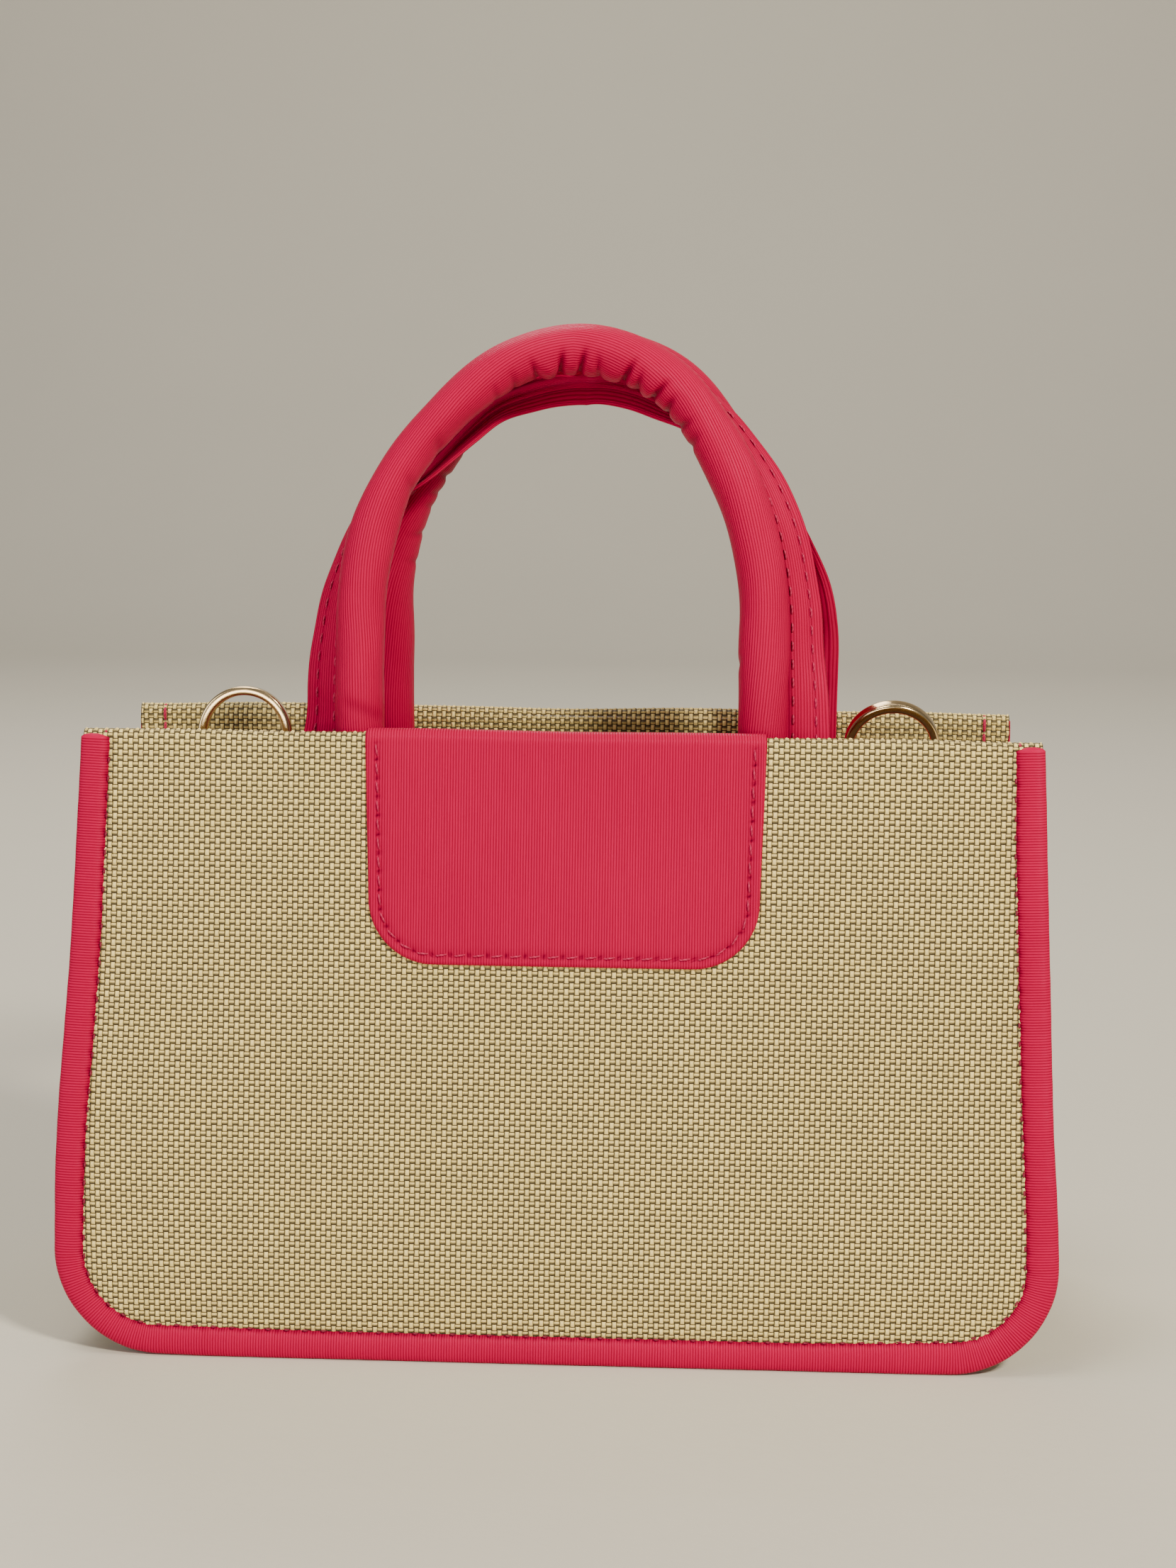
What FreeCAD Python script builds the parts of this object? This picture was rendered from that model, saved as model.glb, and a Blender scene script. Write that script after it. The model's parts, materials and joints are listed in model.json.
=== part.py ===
import FreeCAD, Part
import math
import os

# Small structured tote bag for beach and picnic use: woven canvas body with ribbed leatherette piping,
# a leatherette patch over the front rim, two padded tubular handles and two D-rings on sewn tabs.
# Millimetres. X runs across the bag, -Y is the front, +Z is up. The origin lies on the floor at the
# middle of the base.

# ---------------------------------------------------------------- driving dimensions
BASE_DEPTH = 100.0          # front face to back face at the floor
MOUTH_DEPTH = 68.0          # front face to back face at the rim
RIM_HEIGHT = 162.5          # floor to the folded rim
HALF_WIDTH_LOW = 129.0      # outer half width, piping included, at WIDEST_UP
HALF_WIDTH_TOP = 123.7      # outer half width, piping included, at the piping's upper end
WIDEST_UP = 38.0
PIPING_TOP_UP = 161.0
CORNER_RADIUS = 27.0        # outer radius of the lower corners
FLOOR_PRESS = 0.2           # how far the piping is squashed where it stands on the floor

CANVAS = 1.2                # woven canvas thickness
LEATHERETTE = 1.1           # patch and tab material
LINING = 0.5
STIFFENER = 1.45
STIFFENER_INSET = 0.5       # stiffener edge to the canvas edge
LINING_INSET = 0.3
BASE_BOARD = 2.0
BASE_BOARD_INSET = 0.6
BASE_LINING_INSET = 1.4
GAP = 0.05                  # clearance between layers that lie on each other

PIPING_WIDTH = 7.5
PIPING_THICKNESS = 3.9
PIPING_PROUD = 1.2          # how far the piping stands out in front of the panel
PIPING_WALL = 0.7
PIPING_CORNER = 1.6
FLOOR_CUT = 200.0           # half size of the block that trims the piping at the floor

RIM_RADIUS = 2.0            # outside of the canvas fold at the rim
FACING_DROP = 30.0          # depth of the canvas turned to the inside
FACING_EAR_UP = 151.6       # lowest point of the facing's free ends behind the piping
EAR_INSET = 0.8
EAR_OVERLAP = 2.0           # how far the ears run into the facing
EAR_RISE = 0.9              # ears above the fold's shoulder

PATCH_CENTRE = 1.7
PATCH_HALF_TOP = 51.4
PATCH_HALF_LOW = 50.2
PATCH_DROP = 59.4           # rim to the patch's lower edge
PATCH_CORNER = 17.0
PATCH_INNER_DROP = 15.0

GUSSET_INSET = 1.5          # gusset face to the piping's outer edge
GUSSET_TOP = 149.5
GUSSET_FOLD = 31.8          # how deep the fold goes in at the gusset's upper edge
PINCH_START = 60.0          # height where the fold begins to close
PINCH_FULL = 125.0
PINCH_SPREAD = 9.2          # half width, along the cloth, of the strip that ends up pinched
PINCH_HALF_GAP = 1.0
PINCH_MOUTH = 0.73          # share of the fold depth where the pinched part begins
FOLD_CURVE = 0.8            # exponent of the fold's growth with height
GUSSET_CORNER_ANGLES = (-90, -68, -45, -22)
GUSSET_HEIGHTS = (28, 38, 50, 64, 80, 96, 112, 128)
GUSSET_LINING_DROP = 0.5    # gusset lining below the gusset's upper edge

HANDLE_LEG = 52.6           # half distance between the legs of one handle
HANDLE_RADIUS = 6.45
HANDLE_WALL = 0.95
HANDLE_STRAIGHT = 19.0      # straight leg above the bend line
HANDLE_ARCH = 71.6          # height of the arch above the straight legs
HANDLE_TOP_RADIUS = 42.0
HANDLE_PIVOT_Y = 22.3
HANDLE_PIVOT_Z = 171.0
FRONT_HANDLE_LEAN = 7.7     # degrees towards the bag's middle
BACK_HANDLE_LEAN = 6.8
BACK_HANDLE_SHIFT = 2.3     # the back handle is sewn on a little to the right
FLANGE_THICKNESS = 2.2
FLANGE_WIDTH_LOW = 11.3
FRONT_FLANGE_WIDTH_TOP = 8.5
BACK_FLANGE_WIDTH_TOP = 10.3
FRONT_FLANGE_TURN = 104.0   # degrees the seam flange turns from the legs to the arch's top
BACK_FLANGE_TURN = 140.0
FLANGE_TURN_LENGTH = 85.0   # length of leg over which it turns
FLANGE_STATIONS = 10        # on each half of the arch
BEND_CLEARANCE = 0.15

TAB_LOW_Z = 128.0           # lower end of the tongue sewn inside the panel
TAB_HALF_WIDTH = 9.5
TAB_HALF_THICKNESS = 1.4
TAB_CLEARANCE = 0.2         # sewn end to the layer it lies on
TAB_NECK_Z = 156.0          # where the round leg begins to turn towards the panel
TAB_NECK_SHIFT = 0.8
TAB_NECK_FLATTENED = 0.5
TAB_SQUASH_Z = 147.0        # half flattened, beside the patch's inner end
TAB_SQUASH_HALF_X = 7.6
TAB_SQUASH_HALF_Y = 4.4
TAB_FLAT_Z = 138.0          # flat, where the seam flange ends
TAB_FLAT_HALF_X = 9.0
TAB_FLAT_HALF_Y = 2.0
TAB_SECTION_POINTS = 16
TAB_FLANGE_OVERLAP = 1.5    # how far the flange runs into the sewn end
TAB_FLANGE_MARGIN = 0.4     # sewn end's half thickness over the flange's

RING_X = 87.5
RING_BAR_Z = 153.0
RING_OUTER = 12.7
RING_WALL = 2.5
RING_DEPTH = 4.0
RING_LEG = 4.6              # bar axis to the centre of the round top
RING_BAR_RADIUS = 1.3
RING_EDGE = 0.6
LEFT_RING_LEAN = -4.0       # degrees, positive towards the front
RIGHT_RING_LEAN = 22.0
RING_TAB_HALF = 9.0
RING_TAB_LOW_Z = 130.0
RING_TAB_WAIST_Z = 148.0
RING_TAB_INNER_Y = 3.1
RING_TAB_CLEARANCE = 0.08   # tab to the ring's bar
RING_TAB_SLANT = 12.0       # degrees below the bar's middle where the loop ends
RING_BAR_OVERLAP = 0.5

# ---------------------------------------------------------------- values worked out from them
LEAN = math.degrees(math.atan((BASE_DEPTH - MOUTH_DEPTH) / 2 / RIM_HEIGHT))
LEAN_SLOPE = math.tan(math.radians(LEAN))
RIM_UP = RIM_HEIGHT / math.cos(math.radians(LEAN))      # rim height measured along the panel
FACING_IN = 2 * RIM_RADIUS - CANVAS                     # depth of the facing's hidden face
PANEL_IN = 2 * RIM_RADIUS                               # depth of the facing's visible face
TAPER = math.atan((HALF_WIDTH_LOW - HALF_WIDTH_TOP) / (PIPING_TOP_UP - WIDEST_UP))
CORNER_X = HALF_WIDTH_LOW - (
    CORNER_RADIUS - (WIDEST_UP - CORNER_RADIUS) * math.sin(TAPER)
) / math.cos(TAPER)
PIPING_BACK = PIPING_THICKNESS - PIPING_PROUD           # depth of the piping's rear face
PANEL_INSET = PIPING_WIDTH + 2 * GAP
PATCH_IN = PANEL_IN + GAP + LEATHERETTE                 # depth of the patch's inner face


def vec(x, y, z):
    return FreeCAD.Vector(x, y, z)


def line(a, b):
    return Part.LineSegment(a, b).toShape()


def arc(a, middle, b):
    return Part.Arc(a, middle, b).toShape()


def box(low, high):
    return Part.makeBox(high[0] - low[0], high[1] - low[1], high[2] - low[2], vec(*low))


def fused(*shapes):
    whole = shapes[0].fuse(list(shapes[1:]))
    return whole.removeSplitter()


def prism(edges, direction):
    return Part.Face(Part.Wire(edges)).extrude(direction)


def export(name, shape):
    """Write one piece, checked to be one closed solid."""
    solids = shape.Solids
    if len(solids) != 1 or not solids[0].isValid() or solids[0].Volume <= 0:
        raise ValueError(name + " is not one valid solid")
    solids[0].exportStep("parts/" + name + ".step")
    print(name, round(shape.Volume, 1))


def turned(shape, degrees, centre, axis):
    moved = shape.copy()
    moved.rotate(centre, axis, degrees)
    return moved


def stand_front(shape):
    """Carry a shape from the flat panel's frame (face at y = 0, y into the bag) to the leaning front."""
    moved = turned(shape, -LEAN, vec(0, 0, 0), vec(1, 0, 0))
    moved.translate(vec(0, -BASE_DEPTH / 2, -FLOOR_PRESS))
    return moved


def to_back(shape):
    return turned(shape, 180, vec(0, 0, 0), vec(0, 0, 1))


# ---------------------------------------------------------------- panel outlines
def side_half(up, inset):
    """Half width of the outline at a height, drawn in by inset."""
    outer = HALF_WIDTH_LOW - (up - WIDEST_UP) * math.tan(TAPER)
    return outer - inset / math.cos(TAPER)


def corner_point(angle, radius, y=0.0):
    return vec(CORNER_X + radius * math.cos(angle), y, CORNER_RADIUS + radius * math.sin(angle))


def mirrored(point):
    return vec(-point.x, point.y, point.z)


def outline_run(inset, top, y=0.0):
    """Edges down the left side, round the bottom and up the right side."""
    radius = CORNER_RADIUS - inset
    start, bottom = TAPER, -math.pi / 2
    high = corner_point(start, radius, y)
    middle = corner_point((start + bottom) / 2, radius, y)
    low = corner_point(bottom, radius, y)
    right_top = vec(side_half(top, inset), y, top)
    left_top = mirrored(right_top)
    return [
        line(left_top, mirrored(high)),
        arc(mirrored(high), mirrored(middle), mirrored(low)),
        line(mirrored(low), low),
        arc(low, middle, high),
        line(high, right_top),
    ]


def panel_sheet(inset, top, near, far):
    """A flat sheet with the bag's outline between two depths."""
    edges = outline_run(inset, top, near)
    right_top = vec(side_half(top, inset), near, top)
    edges.append(line(right_top, mirrored(right_top)))
    return prism(edges, vec(0, far - near, 0))


def rim_fold(inner_radius, outer_radius, x_low, x_high):
    """Half round of sheet over the rim, from its front side to its back side."""
    y, z = RIM_RADIUS, RIM_UP - RIM_RADIUS
    edges = [
        arc(vec(x_low, y - outer_radius, z), vec(x_low, y, z + outer_radius),
            vec(x_low, y + outer_radius, z)),
        line(vec(x_low, y + outer_radius, z), vec(x_low, y + inner_radius, z)),
        arc(vec(x_low, y + inner_radius, z), vec(x_low, y, z + inner_radius),
            vec(x_low, y - inner_radius, z)),
        line(vec(x_low, y - inner_radius, z), vec(x_low, y - outer_radius, z)),
    ]
    return prism(edges, vec(x_high - x_low, 0, 0))


def canvas_panel():
    """Canvas face, folded over the rim and down inside, with free ends behind the piping."""
    shoulder = RIM_UP - RIM_RADIUS
    half = side_half(shoulder, PANEL_INSET)
    face = panel_sheet(PANEL_INSET, shoulder, 0, CANVAS)
    fold = rim_fold(RIM_RADIUS - CANVAS, RIM_RADIUS, -half, half)
    facing = box((-half, FACING_IN, RIM_UP - FACING_DROP), (half, PANEL_IN, shoulder))
    ears = []
    outer = side_half(PIPING_TOP_UP, EAR_INSET)
    for side in (-1, 1):
        x_low, x_high = sorted((side * (half - EAR_OVERLAP), side * outer))
        ears.append(box((x_low, FACING_IN, FACING_EAR_UP), (x_high, PANEL_IN, shoulder + EAR_RISE)))
    return fused(face, fold, facing, *ears)


def stiffener():
    near = CANVAS + GAP
    return panel_sheet(PANEL_INSET + STIFFENER_INSET, RIM_UP - RIM_RADIUS - GAP, near, near + STIFFENER)


def panel_lining():
    near = FACING_IN + GAP
    return panel_sheet(PANEL_INSET + LINING_INSET, RIM_UP - FACING_DROP - GAP, near, near + LINING)


# ---------------------------------------------------------------- piping
def rounded_section(centre, across, width, thickness, corner):
    """Rounded rectangle round a centre; width lies along across, thickness along y."""
    deep = vec(0, 1, 0)

    def at(a, d):
        return centre + across * a + deep * d

    a, d = width / 2, thickness / 2
    nick = corner * (1 - math.sqrt(0.5))
    edges = []
    for sa, sd in ((1, 1), (-1, 1), (-1, -1), (1, -1)):
        begin = at(sa * a, sd * (d - corner))
        end = at(sa * (a - corner), sd * d)
        if sa * sd < 0:
            begin, end = end, begin
        edges.append(arc(begin, at(sa * (a - nick), sd * (d - nick)), end))
    links = [line(edges[i].Vertexes[-1].Point, edges[(i + 1) % 4].Vertexes[0].Point) for i in range(4)]
    ordered = [edge for pair in zip(edges, links) for edge in pair]
    return Part.Wire(ordered)


def piping_bar(shrink):
    """Flattened round bar along the sides and bottom, thinner all round by shrink."""
    inset = PIPING_WIDTH / 2
    y = PIPING_BACK - PIPING_THICKNESS / 2
    run = outline_run(inset, PIPING_TOP_UP, y)
    start = vec(-side_half(PIPING_TOP_UP, inset), y, PIPING_TOP_UP)
    across = vec(-math.cos(TAPER), 0, math.sin(TAPER))
    section = rounded_section(
        start, across, PIPING_WIDTH - 2 * shrink, PIPING_THICKNESS - 2 * shrink, PIPING_CORNER - shrink
    )
    return Part.Wire(run).makePipeShell([section], True, False)


def piping():
    """Leatherette tube of the piping, pressed flat where it stands on the floor."""
    tube = stand_front(piping_bar(0).cut(piping_bar(PIPING_WALL)))
    below = box((-FLOOR_CUT, -FLOOR_CUT, -FLOOR_CUT), (FLOOR_CUT, FLOOR_CUT, 0))
    return tube.cut(below)


def piping_filler():
    return stand_front(piping_bar(PIPING_WALL + GAP))


# ---------------------------------------------------------------- patch
def patch():
    """Leatherette patch on the front face, folded over the rim and sewn down inside."""
    shoulder = RIM_UP - RIM_RADIUS
    low = RIM_UP - PATCH_DROP
    near, far = -GAP - LEATHERETTE, -GAP
    left, right = PATCH_CENTRE - PATCH_HALF_TOP, PATCH_CENTRE + PATCH_HALF_TOP
    low_left, low_right = PATCH_CENTRE - PATCH_HALF_LOW, PATCH_CENTRE + PATCH_HALF_LOW
    nick = PATCH_CORNER * (1 - math.sqrt(0.5))
    edges = [
        line(vec(left, near, shoulder), vec(low_left, near, low + PATCH_CORNER)),
        arc(vec(low_left, near, low + PATCH_CORNER), vec(low_left + nick, near, low + nick),
            vec(low_left + PATCH_CORNER, near, low)),
        line(vec(low_left + PATCH_CORNER, near, low), vec(low_right - PATCH_CORNER, near, low)),
        arc(vec(low_right - PATCH_CORNER, near, low), vec(low_right - nick, near, low + nick),
            vec(low_right, near, low + PATCH_CORNER)),
        line(vec(low_right, near, low + PATCH_CORNER), vec(right, near, shoulder)),
        line(vec(right, near, shoulder), vec(left, near, shoulder)),
    ]
    flap = prism(edges, vec(0, far - near, 0))
    fold = rim_fold(RIM_RADIUS + GAP, RIM_RADIUS + GAP + LEATHERETTE, left, right)
    inner = box((left, PANEL_IN + GAP, RIM_UP - PATCH_INNER_DROP), (right, PATCH_IN, shoulder))
    return fused(flap, fold, inner)


# ---------------------------------------------------------------- base
def face_y(z, depth):
    """Distance from the middle plane to a layer of the leaning panel that lies depth inside its face."""
    return BASE_DEPTH / 2 - z * LEAN_SLOPE - depth / math.cos(math.radians(LEAN))


BASE_Z = GUSSET_INSET - FLOOR_PRESS
BASE_HALF_DEPTH = face_y(BASE_Z + CANVAS, PIPING_BACK + 2 * GAP)


def base_layer(z_low, z_high, inset):
    x, y = CORNER_X - inset, BASE_HALF_DEPTH - inset
    return box((-x, -y, z_low), (x, y, z_high))


# ---------------------------------------------------------------- gussets
def offset_points(points, distance, half):
    """Shift an open outline (front to back) towards the bag's inside; its ends lie at y = -half and half."""
    normals = []
    for (ax, ay), (bx, by) in zip(points, points[1:]):
        length = math.hypot(bx - ax, by - ay)
        normals.append((-(by - ay) / length, (bx - ax) / length))
    moved = []
    for i, (x, y) in enumerate(points):
        before, after = normals[max(i - 1, 0)], normals[min(i, len(normals) - 1)]
        scale = distance / (1 + before[0] * after[0] + before[1] * after[1])
        moved.append((x + (before[0] + after[0]) * scale, y + (before[1] + after[1]) * scale))
    for end, neighbour, target in ((0, 1, -half), (-1, -2, half)):
        (x, y), (nx, ny) = moved[end], moved[neighbour]
        moved[end] = (x + (nx - x) * (target - y) / (ny - y), target)
    return moved


def fold_points(z):
    """Outer line of the right gusset in plan: front edge, pinch, crease, pinch, back edge."""
    half = face_y(z, PIPING_BACK + 2 * GAP)
    edge_x = side_half(z + FLOOR_PRESS, GUSSET_INSET)
    rise = max(0.0, (z - CORNER_RADIUS) / (GUSSET_TOP - CORNER_RADIUS))
    depth = GUSSET_FOLD * rise ** FOLD_CURVE
    closing = min(1.0, max(0.0, (z - PINCH_START) / (PINCH_FULL - PINCH_START)))
    closing = closing * closing * (3 - 2 * closing)
    pinch_y = PINCH_SPREAD + (PINCH_HALF_GAP - PINCH_SPREAD) * closing
    straight = (half - PINCH_SPREAD) / (half - PINCH_HALF_GAP)
    share = straight + (PINCH_MOUTH - straight) * closing
    front = [
        (edge_x, -half),
        (edge_x - depth * share, -pinch_y),
        (edge_x - depth, -PINCH_HALF_GAP),
    ]
    return front + [(x, -y) for x, y in reversed(front)]


def corner_section(angle, near, far, ends):
    """Straight strip across the bag at one place of the rounded lower corner."""
    points = []
    for radius in (CORNER_RADIUS - GUSSET_INSET - near, CORNER_RADIUS - GUSSET_INSET - far):
        spot = corner_point(angle, radius)
        half = face_y(spot.z, PIPING_BACK + 2 * GAP) - ends
        row = [-half, -PINCH_SPREAD, -PINCH_HALF_GAP, PINCH_HALF_GAP, PINCH_SPREAD, half]
        if points:
            row.reverse()
        points += [vec(spot.x, y, spot.z - FLOOR_PRESS) for y in row]
    return Part.makePolygon(points + points[:1])


def upright_section(z, near, far, ends):
    line_points = fold_points(z)
    half = line_points[-1][1] - ends
    outer = offset_points(line_points, near, half)
    inner = offset_points(line_points, far, half)
    points = [vec(x, y, z) for x, y in outer + inner[::-1]]
    return Part.makePolygon(points + points[:1])


def gusset(near, far, ends, top):
    """Right side strip: round the lower corner, then up with an inward fold that closes at the top."""
    sections = [corner_section(math.radians(a), near, far, ends) for a in GUSSET_CORNER_ANGLES]
    sections += [upright_section(z, near, far, ends) for z in (*GUSSET_HEIGHTS, top)]
    return Part.makeLoft(sections, True, True)


# ---------------------------------------------------------------- handles
def handle_side_radius():
    """Radius of the arch's flanks, so that three arcs meet the legs and the top smoothly."""
    rise = HANDLE_ARCH - HANDLE_TOP_RADIUS
    run = HANDLE_LEG - HANDLE_TOP_RADIUS
    return HANDLE_LEG + (rise * rise - run * run) / (2 * run)


SIDE_RADIUS = handle_side_radius()
SIDE_SWEEP = math.atan2(HANDLE_ARCH - HANDLE_TOP_RADIUS, SIDE_RADIUS - HANDLE_LEG)
TOP_SWEEP = math.pi / 2 - SIDE_SWEEP


def leg_point(length):
    """Place and outward direction on the right half of the handle, measured from its bend line."""
    if length <= HANDLE_STRAIGHT:
        return vec(HANDLE_LEG, 0, length), vec(1, 0, 0)
    along = length - HANDLE_STRAIGHT
    if along <= SIDE_RADIUS * SIDE_SWEEP:
        angle = along / SIDE_RADIUS
        outward = vec(math.cos(angle), 0, math.sin(angle))
        centre = vec(HANDLE_LEG - SIDE_RADIUS, 0, HANDLE_STRAIGHT)
        return centre + outward * SIDE_RADIUS, outward
    angle = SIDE_SWEEP + (along - SIDE_RADIUS * SIDE_SWEEP) / HANDLE_TOP_RADIUS
    outward = vec(math.cos(angle), 0, math.sin(angle))
    centre = vec(0, 0, HANDLE_STRAIGHT + HANDLE_ARCH - HANDLE_TOP_RADIUS)
    return centre + outward * HANDLE_TOP_RADIUS, outward


HALF_LENGTH = HANDLE_STRAIGHT + SIDE_RADIUS * SIDE_SWEEP + HANDLE_TOP_RADIUS * TOP_SWEEP


def handle_bar(radius):
    """Round bar along the handle with rounded ends on the bend line."""
    joint = HANDLE_STRAIGHT + SIDE_RADIUS * SIDE_SWEEP
    middle = HANDLE_STRAIGHT + SIDE_RADIUS * SIDE_SWEEP / 2
    spots = [leg_point(s)[0] for s in (0, HANDLE_STRAIGHT, middle, joint, HALF_LENGTH)]
    left = [mirrored(p) for p in spots]
    run = Part.Wire([
        line(left[0], left[1]),
        arc(left[1], left[2], left[3]),
        arc(left[3], spots[4], spots[3]),
        arc(spots[3], spots[2], spots[1]),
        line(spots[1], spots[0]),
    ])
    section = Part.Wire(Part.makeCircle(radius, left[0], vec(0, 0, 1)))
    bar = run.makePipeShell([section], True, False)
    return fused(bar, Part.makeSphere(radius, left[0]), Part.makeSphere(radius, spots[0]))


def flange_section(length, side, turn, width_top):
    """Cross-section of the two sewn layers that stand out from the tube."""
    spot, outward = leg_point(length)
    share = min(1.0, length / FLANGE_TURN_LENGTH)
    angle = math.radians(turn * share)
    width = FLANGE_WIDTH_LOW + (width_top - FLANGE_WIDTH_LOW) * share
    direction = outward * math.cos(angle) + vec(0, 1, 0) * math.sin(angle)
    across = outward * -math.sin(angle) + vec(0, 1, 0) * math.cos(angle)
    root = HANDLE_RADIUS - HANDLE_WALL / 2
    points = []
    for radial, offset in ((root, -1), (root, 1), (HANDLE_RADIUS + width, 1), (HANDLE_RADIUS + width, -1)):
        points.append(spot + direction * radial + across * (offset * FLANGE_THICKNESS / 2))
    if side < 0:
        points = [mirrored(p) for p in points]
    return Part.makePolygon(points + points[:1])


def flange(turn, width_top):
    lengths = [HALF_LENGTH * i / FLANGE_STATIONS for i in range(FLANGE_STATIONS + 1)]
    sections = [flange_section(s, -1, turn, width_top) for s in lengths]
    sections += [flange_section(s, 1, turn, width_top) for s in reversed(lengths[:-1])]
    return Part.makeLoft(sections, True, True)


def stand_handle(shape, lean):
    """Carry a handle from its flat frame to the front of the bag, leaning back."""
    moved = turned(shape, -lean, vec(0, 0, 0), vec(1, 0, 0))
    moved.translate(vec(0, -HANDLE_PIVOT_Y, HANDLE_PIVOT_Z))
    return moved


def handle_cover(turn, width_top):
    outside = fused(handle_bar(HANDLE_RADIUS), flange(turn, width_top))
    return outside.cut(handle_bar(HANDLE_RADIUS - HANDLE_WALL))


def handle_core():
    return handle_bar(HANDLE_RADIUS - HANDLE_WALL - 2 * GAP)


def tab_section(z, centre_y, half_x, half_y):
    """Flattened round section of a handle's sewn end, in the horizontal plane."""
    points = []
    for i in range(TAB_SECTION_POINTS):
        angle = 2 * math.pi * (i + 0.5) / TAB_SECTION_POINTS
        points.append(vec(half_x * math.cos(angle), centre_y + half_y * math.sin(angle), z))
    return Part.makePolygon(points + points[:1])


def handle_tab(side):
    """Sewn end of one handle leg below the bend line, with its part of the seam flange."""
    top = HANDLE_PIVOT_Z - HANDLE_RADIUS - BEND_CLEARANCE
    round_y = -HANDLE_PIVOT_Y

    def sewn(z, under, half_x, half_y):
        return z, -face_y(z, under) + half_y + TAB_CLEARANCE, half_x, half_y

    facing = PANEL_IN + 2 * GAP
    rows = [
        (top, round_y, HANDLE_RADIUS - GAP, HANDLE_RADIUS - GAP),
        (TAB_NECK_Z, round_y - TAB_NECK_SHIFT, HANDLE_RADIUS, HANDLE_RADIUS - TAB_NECK_FLATTENED),
        sewn(TAB_SQUASH_Z, PATCH_IN, TAB_SQUASH_HALF_X, TAB_SQUASH_HALF_Y),
        sewn(TAB_FLAT_Z, facing, TAB_FLAT_HALF_X, TAB_FLAT_HALF_Y),
        sewn(TAB_LOW_Z, facing, TAB_HALF_WIDTH, TAB_HALF_THICKNESS),
    ]
    tongue = Part.makeLoft([tab_section(*row) for row in rows], True, True)
    flange_rows = []
    for z, y, half_x, half_y in rows[:4]:
        x_low, x_high = half_x - TAB_FLANGE_OVERLAP, HANDLE_RADIUS + FLANGE_WIDTH_LOW
        half = min(FLANGE_THICKNESS / 2, half_y - TAB_FLANGE_MARGIN)
        near, far = y - half, y + half
        corners = [vec(x_low, near, z), vec(x_low, far, z), vec(x_high, far, z), vec(x_high, near, z)]
        flange_rows.append(Part.makePolygon(corners + corners[:1]))
    tab = fused(tongue, Part.makeLoft(flange_rows, True, True))
    if side < 0:
        tab = tab.mirror(vec(0, 0, 0), vec(1, 0, 0))
    tab.translate(vec(side * HANDLE_LEG, 0, 0))
    return tab


# ---------------------------------------------------------------- D-rings and their tabs
def ring(lean):
    """Flat-section D-ring with a round bar, its bar on the X axis."""
    half = RING_DEPTH / 2
    inner = RING_OUTER - RING_WALL
    arch = Part.makeCylinder(RING_OUTER, RING_DEPTH, vec(0, -half, RING_LEG), vec(0, 1, 0))
    arch = arch.cut(box((-RING_OUTER, -half, -RING_OUTER), (RING_OUTER, half, RING_LEG)))
    legs = box((-RING_OUTER, -half, 0), (RING_OUTER, half, RING_LEG))
    ends = Part.makeCylinder(half, 2 * RING_OUTER, vec(-RING_OUTER, 0, 0), vec(1, 0, 0))
    solid = fused(arch, legs, ends)
    hollow = Part.makeCylinder(inner, 3 * RING_DEPTH, vec(0, -1.5 * RING_DEPTH, RING_LEG), vec(0, 1, 0))
    slot = box((-inner, -1.5 * RING_DEPTH, -RING_OUTER), (inner, 1.5 * RING_DEPTH, RING_LEG))
    frame = solid.cut(fused(hollow, slot))
    rims = [e for e in frame.Edges if abs(abs(e.CenterOfMass.y) - half) < 0.01]
    frame = frame.makeFillet(RING_EDGE, rims)
    reach = inner + RING_BAR_OVERLAP
    bar = Part.makeCylinder(RING_BAR_RADIUS, 2 * reach, vec(-reach, 0, 0), vec(1, 0, 0))
    return turned(fused(frame, bar), lean, vec(0, 0, 0), vec(1, 0, 0))


def ring_tab():
    """Leatherette strip round the ring's bar, its ends sewn on both sides of the gusset's pinched fold."""
    inner = RING_BAR_RADIUS + RING_TAB_CLEARANCE
    outer = inner + LEATHERETTE
    slant = math.radians(RING_TAB_SLANT)
    x = -RING_TAB_HALF

    def spot(radius, angle):
        return vec(x, radius * math.cos(angle), RING_BAR_Z + radius * math.sin(angle))

    def loop(radius):
        return arc(spot(radius, slant), vec(x, 0, RING_BAR_Z + radius), spot(radius, math.pi - slant))

    near, far = RING_TAB_INNER_Y, RING_TAB_INNER_Y + LEATHERETTE
    edges = [
        loop(outer),
        line(spot(outer, math.pi - slant), vec(x, -far, RING_TAB_WAIST_Z)),
        line(vec(x, -far, RING_TAB_WAIST_Z), vec(x, -far, RING_TAB_LOW_Z)),
        line(vec(x, -far, RING_TAB_LOW_Z), vec(x, -near, RING_TAB_LOW_Z)),
        line(vec(x, -near, RING_TAB_LOW_Z), vec(x, -near, RING_TAB_WAIST_Z)),
        line(vec(x, -near, RING_TAB_WAIST_Z), spot(inner, math.pi - slant)),
        loop(inner),
        line(spot(inner, slant), vec(x, near, RING_TAB_WAIST_Z)),
        line(vec(x, near, RING_TAB_WAIST_Z), vec(x, near, RING_TAB_LOW_Z)),
        line(vec(x, near, RING_TAB_LOW_Z), vec(x, far, RING_TAB_LOW_Z)),
        line(vec(x, far, RING_TAB_LOW_Z), vec(x, far, RING_TAB_WAIST_Z)),
        line(vec(x, far, RING_TAB_WAIST_Z), spot(outer, slant)),
    ]
    ordered = Part.Wire(Part.__sortEdges__(edges))
    return Part.Face(ordered).extrude(vec(2 * RING_TAB_HALF, 0, 0))


def moved_to(shape, x, y, z):
    placed = shape.copy()
    placed.translate(vec(x, y, z))
    return placed


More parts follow.
